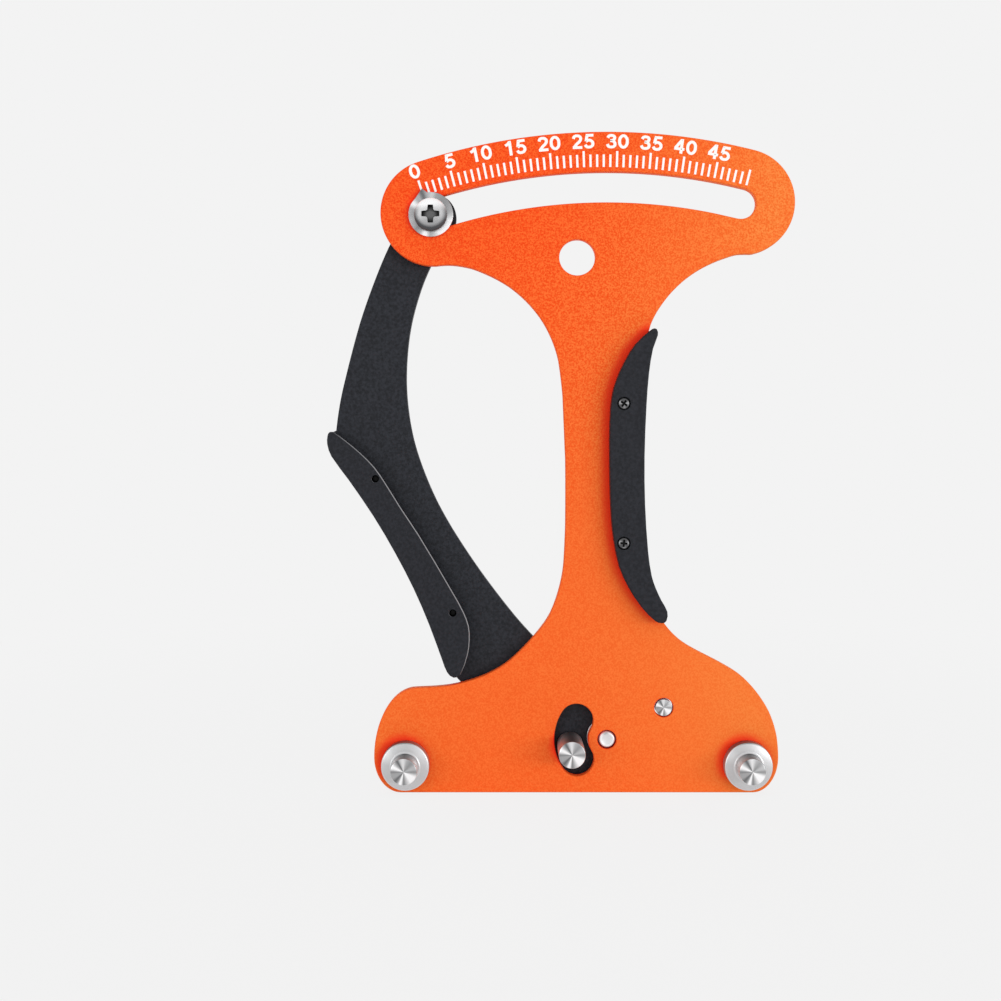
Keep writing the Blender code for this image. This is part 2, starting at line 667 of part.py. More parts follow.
def lever_arm(lever):
    holes = [circle(PIVOT_PIN_RADIUS + HOLE_GAP), circle(POINTER_SCREW_RADIUS + HOLE_GAP, POINTER)]
    holes.append(circle(POST_SCREW_RADIUS + HOLE_GAP, CENTRE_POST))
    holes.append(circle(SPRING_NECK_RADIUS + HOLE_GAP, HOOK_PIN))
    holes += [circle(GRIP_BORE, spot) for spot in places(LEFT_GRIP_SCREW_SHARES, HEAD_RADIUS, HEAD_RADIUS)]
    slab("lever_arm", [lever_outline(), *holes], LEVER_FRONT, LEVER_BACK, lever, "dark paint", PLATE_EDGE)


def centre_post(lever):
    foot = LEVER_FRONT - SEAT_GAP
    bore_end = foot - POST_SCREW_REACH - SEAT_GAP
    profile = post_profile(CENTRE_POST_RADIUS, foot, bore_end)
    turned("centre_post", profile, lever, "turned steel", CENTRE_POST)
    post_screw("centre_post_screw", LEVER_BACK, foot, lever, CENTRE_POST)


def pointer(lever):
    bush_radius = SLOT_HALF_WIDTH - HOLE_GAP
    bore = circle(POINTER_SCREW_RADIUS + HOLE_GAP)
    bush_back = LEVER_FRONT - SEAT_GAP
    bush = [circle(bush_radius), bore]
    slab("guide_bush", bush, PLATE_FRONT, bush_back, lever, "black steel", place=POINTER)
    washer_back = PLATE_FRONT - SEAT_GAP
    washer_front = washer_back - POINTER_WASHER_THICKNESS
    slab("pointer_washer", [pointer_outline(), bore], washer_front, washer_back, lever, "turned steel", place=POINTER)
    nut_front = LEVER_BACK + SEAT_GAP
    nut_back = nut_front + POINTER_NUT_THICKNESS
    nut = [hexagon(POINTER_NUT_ACROSS), bore]
    slab("pointer_nut", nut, nut_front, nut_back, lever, "turned steel", place=POINTER)
    head_back = washer_front - SEAT_GAP
    head_front = head_back - POINTER_SCREW_HEAD_THICKNESS
    crown = POINTER_SCREW_HEAD_THICKNESS / 2
    dome = arc(POINTER_SCREW_HEAD_RADIUS, 0, 90, rise=crown)[1:]
    end = nut_back + POINTER_SCREW_OVERHANG
    profile = [(point.x, head_front + crown - point.y) for point in dome]
    profile += [(POINTER_SCREW_HEAD_RADIUS, head_back), (POINTER_SCREW_RADIUS, head_back)]
    profile += [(POINTER_SCREW_RADIUS, end)]
    screw = turned("pointer_screw", profile, lever, "turned steel", POINTER)
    recess = [cross(POINTER_CROSS_LENGTH, POINTER_CROSS_WIDTH)]
    deep = head_front + POINTER_CROSS_DEPTH
    cut(screw, slab_mesh("pointer_cross", recess, head_front - CUT_OVERRUN, deep, 0), lever, POINTER)


# Grips

def grip_screw(name, face, outwards, end, carrier, place):
    """A cross-recessed screw whose head is sunk in a grip's face, which looks outwards: -1 ahead, 1 behind."""
    top = face - outwards * GRIP_SCREW_SUNK
    under = top - outwards * GRIP_SCREW_HEAD_THICKNESS
    profile = [(GRIP_SCREW_HEAD_RADIUS, top), (GRIP_SCREW_HEAD_RADIUS, under)]
    profile += [(GRIP_SCREW_RADIUS, under), (GRIP_SCREW_RADIUS, end)]
    screw = turned(name, profile, carrier, "black steel", place)
    recess = [cross(GRIP_CROSS_LENGTH, GRIP_CROSS_WIDTH)]
    depths = sorted((top + outwards * CUT_OVERRUN, top - outwards * GRIP_CROSS_DEPTH))
    cut(screw, slab_mesh(name + "_cross", recess, *depths, 0), carrier, place)


def screw_bore(half, inner, face, depth, radius, carrier, place):
    """Cuts a screw's hole through a grip's half, and a wider seat for its head or its nut in the face."""
    outwards = math.copysign(1, face - inner)
    seat = face - outwards * depth
    overrun = outwards * CUT_OVERRUN
    profile = ((GRIP_BORE, inner - overrun), (GRIP_BORE, seat), (radius, seat), (radius, face + overrun))
    cut(half, turned_mesh(half.name + "_bore", profile), carrier, place)


def grip_half(name, outline, seat, outwards, carrier):
    """One half of a grip, flat on a seat that looks outwards: -1 ahead, 1 behind. Also its two depths."""
    inner = seat + outwards * SEAT_GAP
    face = inner + outwards * GRIP_THICKNESS
    rim = smooth_run(outline, closed=True)
    half = slab(name, [rim], *sorted((inner, face)), carrier, "dark plastic", GRIP_EDGE)
    return half, inner, face


def right_grip(frame):
    """The fixed grip, whose screws run from the front to nuts sunk in its back half."""
    outline = places(RIGHT_GRIP_SHARES, WAIST_RIGHT, HEAD_RADIUS)
    front, front_inner, front_face = grip_half("right_grip_front", outline, PLATE_FRONT, -1, frame)
    back, back_inner, back_face = grip_half("right_grip_back", outline, PLATE_BACK, 1, frame)
    nut_back = back_face - GRIP_SCREW_SUNK
    nut_front = nut_back - GRIP_NUT_THICKNESS
    nut_sink = back_face - nut_front + SEAT_GAP
    nut_seat_radius = GRIP_NUT_ACROSS / math.sqrt(3) + HOLE_GAP
    nut = [hexagon(GRIP_NUT_ACROSS), circle(GRIP_BORE)]
    for level, spot in zip(LEVELS, places(RIGHT_GRIP_SCREW_SHARES, WAIST_RIGHT, HEAD_RADIUS)):
        screw_bore(front, front_inner, front_face, HEAD_SINK, HEAD_SEAT_RADIUS, frame, spot)
        screw_bore(back, back_inner, back_face, nut_sink, nut_seat_radius, frame, spot)
        grip_screw("right_grip_screw_" + level, front_face, -1, nut_back, frame, spot)
        slab("right_grip_nut_" + level, nut, nut_front, nut_back, frame, "black steel", place=spot)


def left_grip(lever):
    """The lever's grip, whose screws run from behind into the front half, and end short of its face."""
    outer = places(LEFT_GRIP_OUTER_SHARES, HEAD_RADIUS, HEAD_RADIUS)
    inner = places(LEFT_GRIP_INNER_SHARES, HEAD_RADIUS, HEAD_RADIUS)
    wider = polar(LEFT_GRIP_BACK_WIDER, LEFT_GRIP_WIDER_DEG)
    behind = outer + [spot + wider for spot in inner]
    front, front_inner, front_face = grip_half("left_grip_front", outer + inner, LEVER_FRONT, -1, lever)
    back, back_inner, back_face = grip_half("left_grip_back", behind, LEVER_BACK, 1, lever)
    for level, spot in zip(LEVELS, places(LEFT_GRIP_SCREW_SHARES, HEAD_RADIUS, HEAD_RADIUS)):
        round_hole(front, GRIP_BORE, front_face - CUT_OVERRUN, front_inner + CUT_OVERRUN, lever, spot)
        screw_bore(back, back_inner, back_face, HEAD_SINK, HEAD_SEAT_RADIUS, lever, spot)
        grip_screw("left_grip_screw_" + level, back_face, 1, front_face + LEFT_SCREW_END_SUNK, lever, spot)


# Return spring

def spring_route():
    """The wire's middle line: an open hook round each pin and an even helix between them."""
    along = ANCHOR_PIN - HOOK_PIN
    span = along.length
    along.normalize()
    aside = Vector((along.y, -along.x))
    body = SPRING_TURNS * SPRING_PITCH
    lead = (span - body) / 2

    def spot(forward, sideways, back):
        place = HOOK_PIN + along * forward + aside * sideways
        return Vector((place.x, SPRING_DEPTH + back, place.y))

    hook = []
    for i in range(SPRING_HOOK_STEPS, 0, -1):
        bent_by = math.radians(SPRING_HOOK_STEP_DEG * i)
        hook.append((-SPRING_RADIUS * math.sin(bent_by), SPRING_RADIUS * math.cos(bent_by)))
    leads = [lead * i / SPRING_LEAD_STEPS for i in range(SPRING_LEAD_STEPS)]
    points = [spot(forward, sideways, 0) for forward, sideways in hook]
    points += [spot(forward, SPRING_RADIUS, 0) for forward in leads]
    count = SPRING_TURNS * SPRING_POINTS_PER_TURN
    for i in range(count + 1):
        wound_by = 2 * math.pi * i / SPRING_POINTS_PER_TURN
        sideways = SPRING_RADIUS * math.cos(wound_by)
        points.append(spot(lead + body * i / count, sideways, SPRING_RADIUS * math.sin(wound_by)))
    points += [spot(span - forward, SPRING_RADIUS, 0) for forward in reversed(leads)]
    points += [spot(span - forward, sideways, 0) for forward, sideways in reversed(hook)]
    return points


def least_gap(points, wire):
    """The least gap between stretches of the wire that aren't neighbours, in metres."""
    skip = SPRING_POINTS_PER_TURN // 2
    pairs = ((a, b) for i, a in enumerate(points) for b in points[i + skip :])
    return min((a - b).length for a, b in pairs) - wire


def return_spring(frame):
    curve = bpy.data.curves.new("return_spring", "CURVE")
    curve.dimensions = "3D"
    curve.bevel_depth = SPRING_WIRE / 2
    curve.bevel_resolution = 1
    curve.use_fill_caps = True
    points = spring_route()
    spline = curve.splines.new("POLY")
    spline.points.add(len(points) - 1)
    for point, place in zip(spline.points, points):
        point.co = (*place, 1)
    placed(bpy.data.objects.new("return_spring", curve), frame, (0, 0), "spring steel")
    print(f"return_spring: least gap to itself {least_gap(points, SPRING_WIRE) / MM:.2f} mm")


def carrier_at_pivot(name):
    """An empty on the pivot's axis, which carries one body's pieces."""
    empty = bpy.data.objects.new(name, None)
    bpy.context.scene.collection.objects.link(empty)
    empty.location = PIVOT
    return empty


def main():
    clear_scene()
    frame = carrier_at_pivot("frame_carrier")
    lever = carrier_at_pivot("lever_carrier")
    face_plate(frame)
    fixed_posts(frame)
    pivot(frame)
    spring_pins(frame, lever)
    lever_arm(lever)
    centre_post(lever)
    pointer(lever)
    right_grip(frame)
    left_grip(lever)
    return_spring(frame)


main()
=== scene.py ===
# Looks of the spoke tension meter: its finished pieces, its materials and a plain stage.
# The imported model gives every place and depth. Lengths are in metres, +Z is up and the front faces -Y.
# Bearings turn clockwise from straight up as seen from the front.

import json
import math

import bmesh
import bpy
from bpy.props import FloatProperty, FloatVectorProperty, IntProperty, PointerProperty
from mathutils import Matrix, Vector

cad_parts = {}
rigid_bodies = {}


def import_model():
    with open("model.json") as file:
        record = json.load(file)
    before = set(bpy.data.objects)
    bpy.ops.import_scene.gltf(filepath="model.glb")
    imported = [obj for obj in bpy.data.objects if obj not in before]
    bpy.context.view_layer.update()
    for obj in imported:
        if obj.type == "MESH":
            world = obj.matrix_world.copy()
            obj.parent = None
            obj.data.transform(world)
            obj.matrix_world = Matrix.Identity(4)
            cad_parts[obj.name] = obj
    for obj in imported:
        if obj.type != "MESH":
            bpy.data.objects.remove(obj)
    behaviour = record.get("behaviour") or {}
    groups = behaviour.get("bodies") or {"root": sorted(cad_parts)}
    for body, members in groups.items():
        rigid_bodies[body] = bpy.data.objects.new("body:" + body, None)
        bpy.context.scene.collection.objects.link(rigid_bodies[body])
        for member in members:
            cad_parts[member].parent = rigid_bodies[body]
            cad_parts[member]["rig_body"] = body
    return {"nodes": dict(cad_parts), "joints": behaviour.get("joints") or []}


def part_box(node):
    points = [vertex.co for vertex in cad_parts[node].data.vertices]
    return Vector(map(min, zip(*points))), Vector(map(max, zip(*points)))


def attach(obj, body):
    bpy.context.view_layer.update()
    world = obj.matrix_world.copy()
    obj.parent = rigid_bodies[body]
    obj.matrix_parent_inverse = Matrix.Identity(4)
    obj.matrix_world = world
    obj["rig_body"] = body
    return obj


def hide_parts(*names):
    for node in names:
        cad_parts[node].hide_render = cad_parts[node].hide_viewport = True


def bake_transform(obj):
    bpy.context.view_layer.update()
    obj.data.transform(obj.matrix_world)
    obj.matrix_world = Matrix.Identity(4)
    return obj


bl_info = {
    "name": "Spoke tension meter",
    "version": (1, 0, 0),
    "blender": (4, 5, 0),
    "location": "View3D > Sidebar > Tension meter",
    "description": "Finished pieces, materials and stage of a spoke tension meter",
    "category": "Object",
}

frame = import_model()

MM = 0.001
NODES = frame["nodes"]
PIVOT = Vector(frame["joints"][0]["pos_m"])
PLATE_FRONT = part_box("face_plate")[0].y
PLATE_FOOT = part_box("face_plate")[0].z
SAME_PLACE = 0.001 * MM
OVERRUN = 1.0 * MM  # how far a cutter stands out of what it cuts
SHARP = math.radians(30)  # edges that turn more than this are rounded, and shaded sharp
FLAT = math.radians(0.5)  # faces that turn less than this are made one
CORNER = math.radians(35)  # an outline turns more than this at a corner, and less along an arc
LONG_EDGE = 15 * MM  # an outline's longer edges are straight
ARC_CUTS = 3  # cuts that make an edge an arc
LEVELS = ("upper", "lower")

# A numeral's strokes, as (across, up) places in hundredths of its height. A stroke of two places is straight.
NUMERAL_STROKES = {
    "0": [((35, 90), (52, 79), (59.5, 50), (52, 21), (35, 10), (18, 21), (10.5, 50), (18, 79))],
    "1": [((42, 0), (42, 100)), ((40, 93), (29, 80), (12, 71))],
    "2": [
        ((10, 70), (17, 85), (34, 90), (52, 83), (57, 68), (49, 50), (31, 33), (15, 12)),
        ((5, 9), (66, 9)),
    ],
    "3": [
        ((11, 73), (19, 86), (35, 90), (51, 84), (54.5, 72), (46, 58), (28, 54)),
        ((28, 54), (49, 48), (58, 31), (51, 15), (34, 10), (17, 14), (9, 29)),
    ],
    "4": [((47.5, 0), (47.5, 100)), ((2, 31), (67, 31)), ((45, 93), (9, 35))],
    "5": [
        ((14, 91), (63, 91)),
        ((22, 90), (15, 50)),
        ((14, 49), (31, 58), (49, 52), (58, 34), (50, 16), (33, 10), (17, 14), (9, 27)),
    ],
}
CLOSED_NUMERALS = "0"
NUMERAL_FILL = 0.7  # the width that a numeral's strokes fill, of its height
NUMERAL_SHIFTS = {"0": -0.25 * MM, "5": 0.5 * MM, "10": -0.25 * MM}

# Tones of turned steel, painted: a plain brightness for each ring, and light and dark wedges on it, which are
# painted highlights, reflections and shade of the lathe marks.
# A wedge is its bearing, half width and gain, in degrees and as a share of full brightness.
TIP_TONE = (0.34, (
    (-164, 15, 0.82), (-66, 24, 0.66), (-4, 26, 0.38), (130, 48, 0.82), (70, 22, 0.10), (179, 12, -0.12),
    (-137, 18, -0.24), (-31, 15, -0.26), (-90, 12, -0.14), (40, 22, -0.10), (94, 18, -0.18),
))
SHAFT_TONE = (0.50, ((0, 56, -0.46), (180, 135, 0.45)))
FILLET_TONE = (0.60, ())
FLANGE_TONE = (0.55, ((50, 50, 0.10), (-60, 28, 0.13), (-120, 30, -0.02)))
RIM_TONE = (0.64, ((58, 46, 0.16), (-60, 30, 0.14), (-2, 38, -0.40)))
SIDE_TONE = (0.44, ((-15, 85, -0.38), (180, 60, 0.2)))
WASHER_WEDGES = (
    (-57, 17, 0.56), (-22, 13, -0.30), (3, 14, 0.22), (40, 48, -0.15), (130, 55, 1.0),
    (-163, 17, 0.66), (-134, 12, -0.14), (-104, 16, 0.08),
)
POINTER_TONE = (0.39, WASHER_WEDGES)
NUT_TONE = (0.5, WASHER_WEDGES)
SPACER_TONE = (0.72, WASHER_WEDGES)
PIN_SIDE_TONE = (0.4, ())
DISH_TONE = (0.72, ())
DISH_RIM_TONE = (0.84, ((-10, 45, -0.4),))
PIVOT_EDGE_TONE = (0.55, ((-30, 70, 0.35), (150, 60, -0.3)))
# painted glints on the grip screws' heads, light at both sides and below
GLINT_TONE = (0.12, ((-75, 45, 0.85), (85, 40, 0.8), (175, 40, 0.45)))
NO_GLINT_TONE = (0.0, ())
BAND_BLUR = 0.07 * MM  # half the width over which one ring of tone turns into the next


# Settings

def number(name, description, default, kind=FloatProperty, **limits):
    return kind(name=name, description=description, default=default, **limits)


def length(name, description, default):
    return number(name, description, default, min=0, unit="LENGTH", precision=5)


def share(name, description, default):
    return number(name, description, default, min=0, max=1)


def colour(name, description, default):
    return number(name, description, default, FloatVectorProperty, min=0, max=1, subtype="COLOR")


def whole(name, description, default, least=1):
    return number(name, description, default, IntProperty, min=least)


def direction(name, description, degrees):
    return number(name, description, math.radians(degrees), unit="ROTATION")


class PlateSettings(bpy.types.PropertyGroup):
    # The deep and light oranges are the two ends of the plate's painted lighting, lighter where the lights
    # fall more
    deep: colour("Deep orange", "Paint at the left of the head", (0.945, 0.0925, 0.0100))
    light: colour("Light orange", "Paint at the right of the plate", (0.945, 0.2050, 0.0330))
    roughness: share("Roughness", "How matt the paint is", 0.5)
    grain: length("Grain", "Size of the paint's speckle", 0.45 * MM)
    grain_depth: length("Grain depth", "Height of the paint's texture", 0.03 * MM)
    # The glow and its reach are painted shade: the paint is painted redder where other pieces lie close and
    # shade it
    glow: colour("Glow", "Paint close to other pieces", (1.0, 0.035, 0.008))
    glow_reach: length("Glow reach", "How far from another piece the paint is redder", 3.6 * MM)
    edge: length("Edge rounding", "Rounding of the plate's edges", 0.42 * MM)


class ScaleSettings(bpy.types.PropertyGroup):
    ink: colour("Ink", "Colour of the printed scale", (0.975, 0.955, 0.935))
    offset: length("Offset", "How far left of the pivot the scale's centre lies", 1.24 * MM)
    divisions: whole("Divisions", "Divisions from end to end", 50)
    numbered_every: whole("Numbered every", "Divisions between numbers", 5)
    first_bearing: direction("First mark", "Bearing of nought", -18.24)
    last_bearing: direction("Last mark", "Bearing of the last mark", 14.53)
    foot: length("Marks' foot", "Radius of the marks' inner ends", 165.55 * MM)
    minor_top: length("Minor marks' top", "Radius of a minor mark's outer end", 169.15 * MM)
    major_top: length("Major marks' top", "Radius of a major mark's outer end", 170.18 * MM)
    mark_width: length("Mark width", "Width of each mark", 0.64 * MM)
    numeral_foot: length("Numerals' foot", "Radius of the numerals' feet", 170.9 * MM)
    numeral_height: length("Numeral height", "Height of a numeral", 4.2 * MM)
    numeral_stretch: number("Numeral stretch", "Widening of the numerals", 1.08, min=0.5)
    numeral_step: share("Numeral step", "Width that a numeral takes, of its height", 0.76)
    stroke: share("Stroke", "Width of a numeral's stroke, of its height", 0.190)
    ink_height: length("Ink height", "How far the ink stands off the plate", 0.03 * MM)


class LeverSettings(bpy.types.PropertyGroup):
    paint: colour("Lever paint", "Colour of the lever", (0.0185, 0.0200, 0.0250))
    plastic: colour("Grip plastic", "Colour of the grips", (0.0180, 0.0190, 0.0238))
    grain: length("Grain", "Size of the dark paints' mottling", 0.8 * MM)
    edge: length("Lever edge", "Rounding of the lever's edges", 0.25 * MM)
    # The grip line is a painted highlight on the bevel that faces the key light
    grip_line: colour("Grip line", "Colour of the light line along the lever's grip", (0.30, 0.30, 0.31))
    grip_edge: length("Grip edge", "Rounding of each corner of the grips' bevel", 0.14 * MM)


class PostSettings(bpy.types.PropertyGroup):
    shaft: length("Shaft radius", "Radius of the posts", 3.8 * MM)
    tip_edge: length("Tip edge", "Chamfer at a post's front end", 0.2 * MM)
    fillet: length("Fillet", "Fillet between a post and its flange", 0.7 * MM)
    flange: length("Flange thickness", "Thickness of a fixed post's flange", 3.6 * MM)
    flange_fall: length("Flange fall", "How far the flange's face falls back towards its rim", 0.25 * MM)
    flange_edge: length("Flange edge", "Chamfer round the flange", 0.25 * MM)


class MetalSettings(bpy.types.PropertyGroup):
    bright: colour("Bright steel", "Lightest tone of the turned steel", (0.96, 0.96, 0.97))
    dark: colour("Dark steel", "Darkest tone of the turned steel", (0.07, 0.073, 0.078))
    black: colour("Black steel", "Colour of the blackened fasteners", (0.018, 0.018, 0.019))
    # The worn steel colour paints glints on the grip screws' heads
    worn: colour("Worn steel", "Colour of the worn patches on the grip's screws", (0.34, 0.34, 0.35))
    wire: colour("Spring wire", "Colour of the return spring", (0.42, 0.42, 0.43))
    shine: share("Shine", "How metallic the turned steel is, the rest being plain grey", 0.65)
    steps: whole("Steps", "Steps round a turned piece", 96, least=12)
    edge: length("Edge", "Rounding of the fasteners' edges", 0.12 * MM)
    thread_pitch: length("Thread pitch", "Pitch of the threads that show", 0.7 * MM)
    thread_depth: length("Thread depth", "Depth of the threads that show", 0.25 * MM)
    lathe_pitch: length("Lathe pitch", "Distance between the lathe's fine rings", 0.16 * MM)


class StageSettings(bpy.types.PropertyGroup):
    backdrop: colour("Backdrop", "Floor and background as the camera sees them", (0.896, 0.896, 0.896))
    lens: number("Lens", "Focal length in millimetres", 50, min=1)
    field: length("Field", "Width that the camera sees at the plate's front", 289.3 * MM)
    middle: number(
        "Middle", "Middle of the picture, across and up", (-22.2 * MM, -70.3 * MM), FloatVectorProperty,
        size=2, unit="LENGTH",
    )
    eye_height: number("Eye height", "Height of the camera", -51.5 * MM, unit="LENGTH")
    world: share("Sky light", "Even light from all round", 0.75)
    key: number("Key light", "Power of the large light at the right, in watts", 18.8, min=0)
    fill: number("Fill light", "Power of the large light at the left, in watts", 8.2, min=0)


GROUPS = {
    "plate": PlateSettings,
    "scale": ScaleSettings,
    "lever": LeverSettings,
    "post": PostSettings,
    "metal": MetalSettings,
    "stage": StageSettings,
}


def settings(group):
    return getattr(bpy.context.scene, "tension_meter_" + group)


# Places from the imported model

def middle(node):
    low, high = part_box(node)
    return (low + high) / 2


def radius(node):
    low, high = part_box(node)
    return (high.x - low.x) / 2


def depths(node):
    low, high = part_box(node)
    return low.y, high.y


def polar(reach, bearing, centre):
    return Vector((centre.x + reach * math.sin(bearing), 0, centre.z + reach * math.cos(bearing)))


def quarter(steps):
    """The angles of a quarter turn, from nought to a right angle."""
    return [math.radians(90 / steps * step) for step in range(steps + 1)]


def set_at(place, turned):
    """Takes a shape to a place, turned clockwise as seen from the front."""
    return Matrix.Translation(place) @ Matrix.Rotation(turned, 4, "Y")


def stood_up(centre, front, turned=0.0):
    """Stands a flat shape up at a depth, facing forwards."""
    return set_at((centre.x, front, centre.z), turned) @ Matrix.Rotation(math.pi / 2, 4, "X")


# Shapes

def merged_copy(node):
    """A CAD node's mesh with its loose triangles joined and its flat faces made whole."""
    shape = bmesh.new()
    shape.from_mesh(NODES[node].data)
    bmesh.ops.remove_doubles(shape, verts=shape.verts, dist=SAME_PLACE)
    bmesh.ops.dissolve_limit(shape, angle_limit=FLAT, verts=shape.verts, edges=shape.edges)
    return shape


def turning(before, after):
    """The angle from one direction to the next, seen from the back."""
    return math.atan2(before.cross(after).y, before.dot(after))


def bend(edge):
    """The turn of the arc that an outline's edge stands for, or nought for a straight edge."""
    start, end = edge.verts
    along = end.co - start.co
    before = [start.co - e.other_vert(start).co for e in start.link_edges if e != edge]
    after = [e.other_vert(end).co - end.co for e in end.link_edges if e != edge]
    turns = turning(before[0], along), turning(along, after[0])
    if turns[0] * turns[1] <= 0 or max(map(abs, turns)) > CORNER or along.length > LONG_EDGE:
        return 0
    return min(turns, key=abs)


def corners_of(made):
    """The vertices among what an operator made."""
    return [item for item in made if isinstance(item, bmesh.types.BMVert)]


def curve_edge(shape, edge, turn):
    """Makes a straight edge of an outline into an arc of a few edges."""
    start = edge.verts[0].co.copy()
    chord = edge.verts[1].co - start
    along = chord.normalized()
    aside = along.cross(Vector((0, 1, 0)))
    reach = chord.length / (2 * math.sin(turn / 2))
    for vert in corners_of(bmesh.ops.subdivide_edges(shape, edges=[edge], cuts=ARC_CUTS)["geom_inner"]):
        swing = turn * ((vert.co - start).dot(along) / chord.length - 0.5)
        rise = math.cos(swing) - math.cos(turn / 2)
        vert.co = start + chord / 2 + (along * math.sin(swing) + aside * rise) * reach


def flat_shape(node, edge_width):
    """A flat CAD node with its facets made arcs, and rounded edges."""
    low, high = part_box(node)
    shape = merged_copy(node)
    bmesh.ops.bisect_plane(
        shape, geom=[*shape.verts, *shape.edges, *shape.faces], dist=SAME_PLACE / 10,
        plane_co=(low + high) / 2, plane_no=(0, 1, 0), clear_inner=True, clear_outer=True,
    )
    for edge, turn in [(edge, bend(edge)) for edge in shape.edges]:
        if turn:
            curve_edge(shape, edge, turn)
    for vert in shape.verts:
        vert.co = (min(max(vert.co.x, low.x), high.x), low.y, min(max(vert.co.z, low.z), high.z))
    bmesh.ops.triangle_fill(shape, use_beauty=True, edges=shape.edges[:])
    return softened(raised(shape, high.y - low.y), edge_width, segments=3, clamp=False)


def bevelled(shape, geom, width, affect="EDGES", segments=2, clamp=True, material=-1):
    bmesh.ops.bevel(
        shape, geom=geom, offset=width, segments=segments, profile=0.5, affect=affect, clamp_overlap=clamp,
        material=material,
    )
    return shape


def softened(shape, width, **options):
    """Rounds every sharp edge."""
    sharp = [e for e in shape.edges if len(e.link_faces) == 2 and e.calc_face_angle() > SHARP]
    return bevelled(shape, sharp, width, **options)


def rimmed(shape, width):
    """Rounds the edge between a head and its recess. The rounding takes the head's material."""
    seam = [e for e in shape.edges if len({f.material_index for f in e.link_faces}) == 2]
    return bevelled(shape, seam, width, material=0)


def spun(profile, centre, steps=None):
    """Turns (radius, depth) places into a solid round the axis through a centre."""
    shape = bmesh.new()
    verts = [shape.verts.new((centre.x + out, depth, centre.z)) for out, depth in profile]
    edges = [shape.edges.new(pair) for pair in zip(verts, verts[1:])]
    bmesh.ops.spin(
        shape, geom=verts + edges, cent=(centre.x, 0, centre.z), axis=(0, 1, 0), angle=2 * math.pi,
        steps=steps or settings("metal").steps, use_merge=True,
    )
    bmesh.ops.remove_doubles(shape, verts=shape.verts, dist=SAME_PLACE)
    bmesh.ops.recalc_face_normals(shape, faces=shape.faces)
    return shape


def lathed(node, profile):
    """Turns a profile round a node's own axis, and rounds its edges."""
    return softened(spun(profile, middle(node)), settings("metal").edge)


def raised(shape, depth):
    """Gives a flat face a thickness along +Y."""
    walls = bmesh.ops.extrude_face_region(shape, geom=shape.faces[:])
    bmesh.ops.translate(shape, verts=corners_of(walls["geom"]), vec=(0, depth, 0))
    bmesh.ops.recalc_face_normals(shape, faces=shape.faces)
    return shape


def hexagon(across_flats, front, back, centre):
    """A hexagonal bar between two depths."""
    shape = bmesh.new()
    corner = across_flats / math.sqrt(3)
    bmesh.ops.create_circle(shape, cap_ends=True, segments=6, radius=corner, matrix=stood_up(centre, front))
    return raised(shape, back - front)


def cross(span, width, front, back, centre, turned=0.0, end_share=1.0, floor_share=1.0, corner=0.0):
    """A cross-shaped plug for a screw's recess. The shares narrow its arms' ends and its deep end."""
    shape = bmesh.new()
    bmesh.ops.create_grid(shape, x_segments=3, y_segments=3, size=span / 2)
    for vert in shape.verts:
        far = [abs(value) > span / 4 for value in vert.co[:2]]
        for axis in (0, 1):
            if not far[axis]:
                vert.co[axis] = math.copysign(width / 2 * (end_share if far[1 - axis] else 1), vert.co[axis])
    outside = [f for f in shape.faces if all(abs(v) > width / 2 for v in f.calc_center_median()[:2])]
    bmesh.ops.delete(shape, geom=outside, context="FACES")
    bmesh.ops.dissolve_faces(shape, faces=shape.faces[:])
    if corner:
        inner = [v for v in shape.verts if max(abs(v.co.x), abs(v.co.y)) < span / 4]
        bevelled(shape, inner, corner, "VERTICES", segments=1, clamp=False)
    bmesh.ops.transform(shape, matrix=stood_up(centre, front, turned), verts=shape.verts)
    raised(shape, back - front)
    deep = [v for v in shape.verts if abs(v.co.y - back) < SAME_PLACE]
    narrowed = (floor_share, 1, floor_share)
    bmesh.ops.scale(shape, verts=deep, vec=narrowed, space=Matrix.Translation((-centre.x, 0, -centre.z)))
    return shape


def mesh_of(name, shape):
    mesh = bpy.data.meshes.new(name)
    shape.to_mesh(mesh)
    shape.free()
    return mesh


def placed(name, data):
    """A new object in the scene."""
    obj = bpy.data.objects.new(name, data)
    bpy.context.scene.collection.objects.link(obj)
    return obj


def combined(shape, other, operation):
    """Cuts one shape with another. The faces that the other leaves take the second material."""
    for face in other.faces:
        face.material_index = 1
    pair = [placed("part", mesh_of("part", part)) for part in (shape, other)]
    for part in pair:
        part.data.materials.append(None)
        part.data.materials.append(None)
    boolean = pair[0].modifiers.new("cut", "BOOLEAN")
    boolean.operation = operation
    boolean.solver = "EXACT"
    boolean.object = pair[1]
    result = bmesh.new()
    result.from_object(pair[0], bpy.context.evaluated_depsgraph_get())
    for part in pair:
        bpy.data.objects.remove(part)
    return result


THREAD_CREST = (0.35, 0.65)  # where a ridge's crest starts and ends, of the pitch


def thread(out, front, back):
    """The profile of a thread's even ridges between two depths."""
    metal = settings("metal")
    ridges = max(1, round((back - front) / metal.thread_pitch))
    pitch = (back - front) / ridges
    root = out - metal.thread_depth
    profile = []
    for ridge in range(ridges):
        start = front + ridge * pitch
        profile += [(root, start), *((out, start + crest * pitch) for crest in THREAD_CREST)]
    return profile + [(root, back)]


def round_wire(name, width, steps):
    """A curve for strokes or wire with a round section."""
    wire = bpy.data.curves.new(name, "CURVE")
    wire.dimensions = "3D"
    wire.bevel_depth = width / 2
    wire.bevel_resolution = steps
    wire.use_fill_caps = True
    return wire


def swept(wire):
    """The mesh of a curve."""
    holder = bpy.data.objects.new(wire.name, wire)
    mesh = bpy.data.meshes.new_from_object(holder)
    bpy.data.objects.remove(holder)
    return mesh


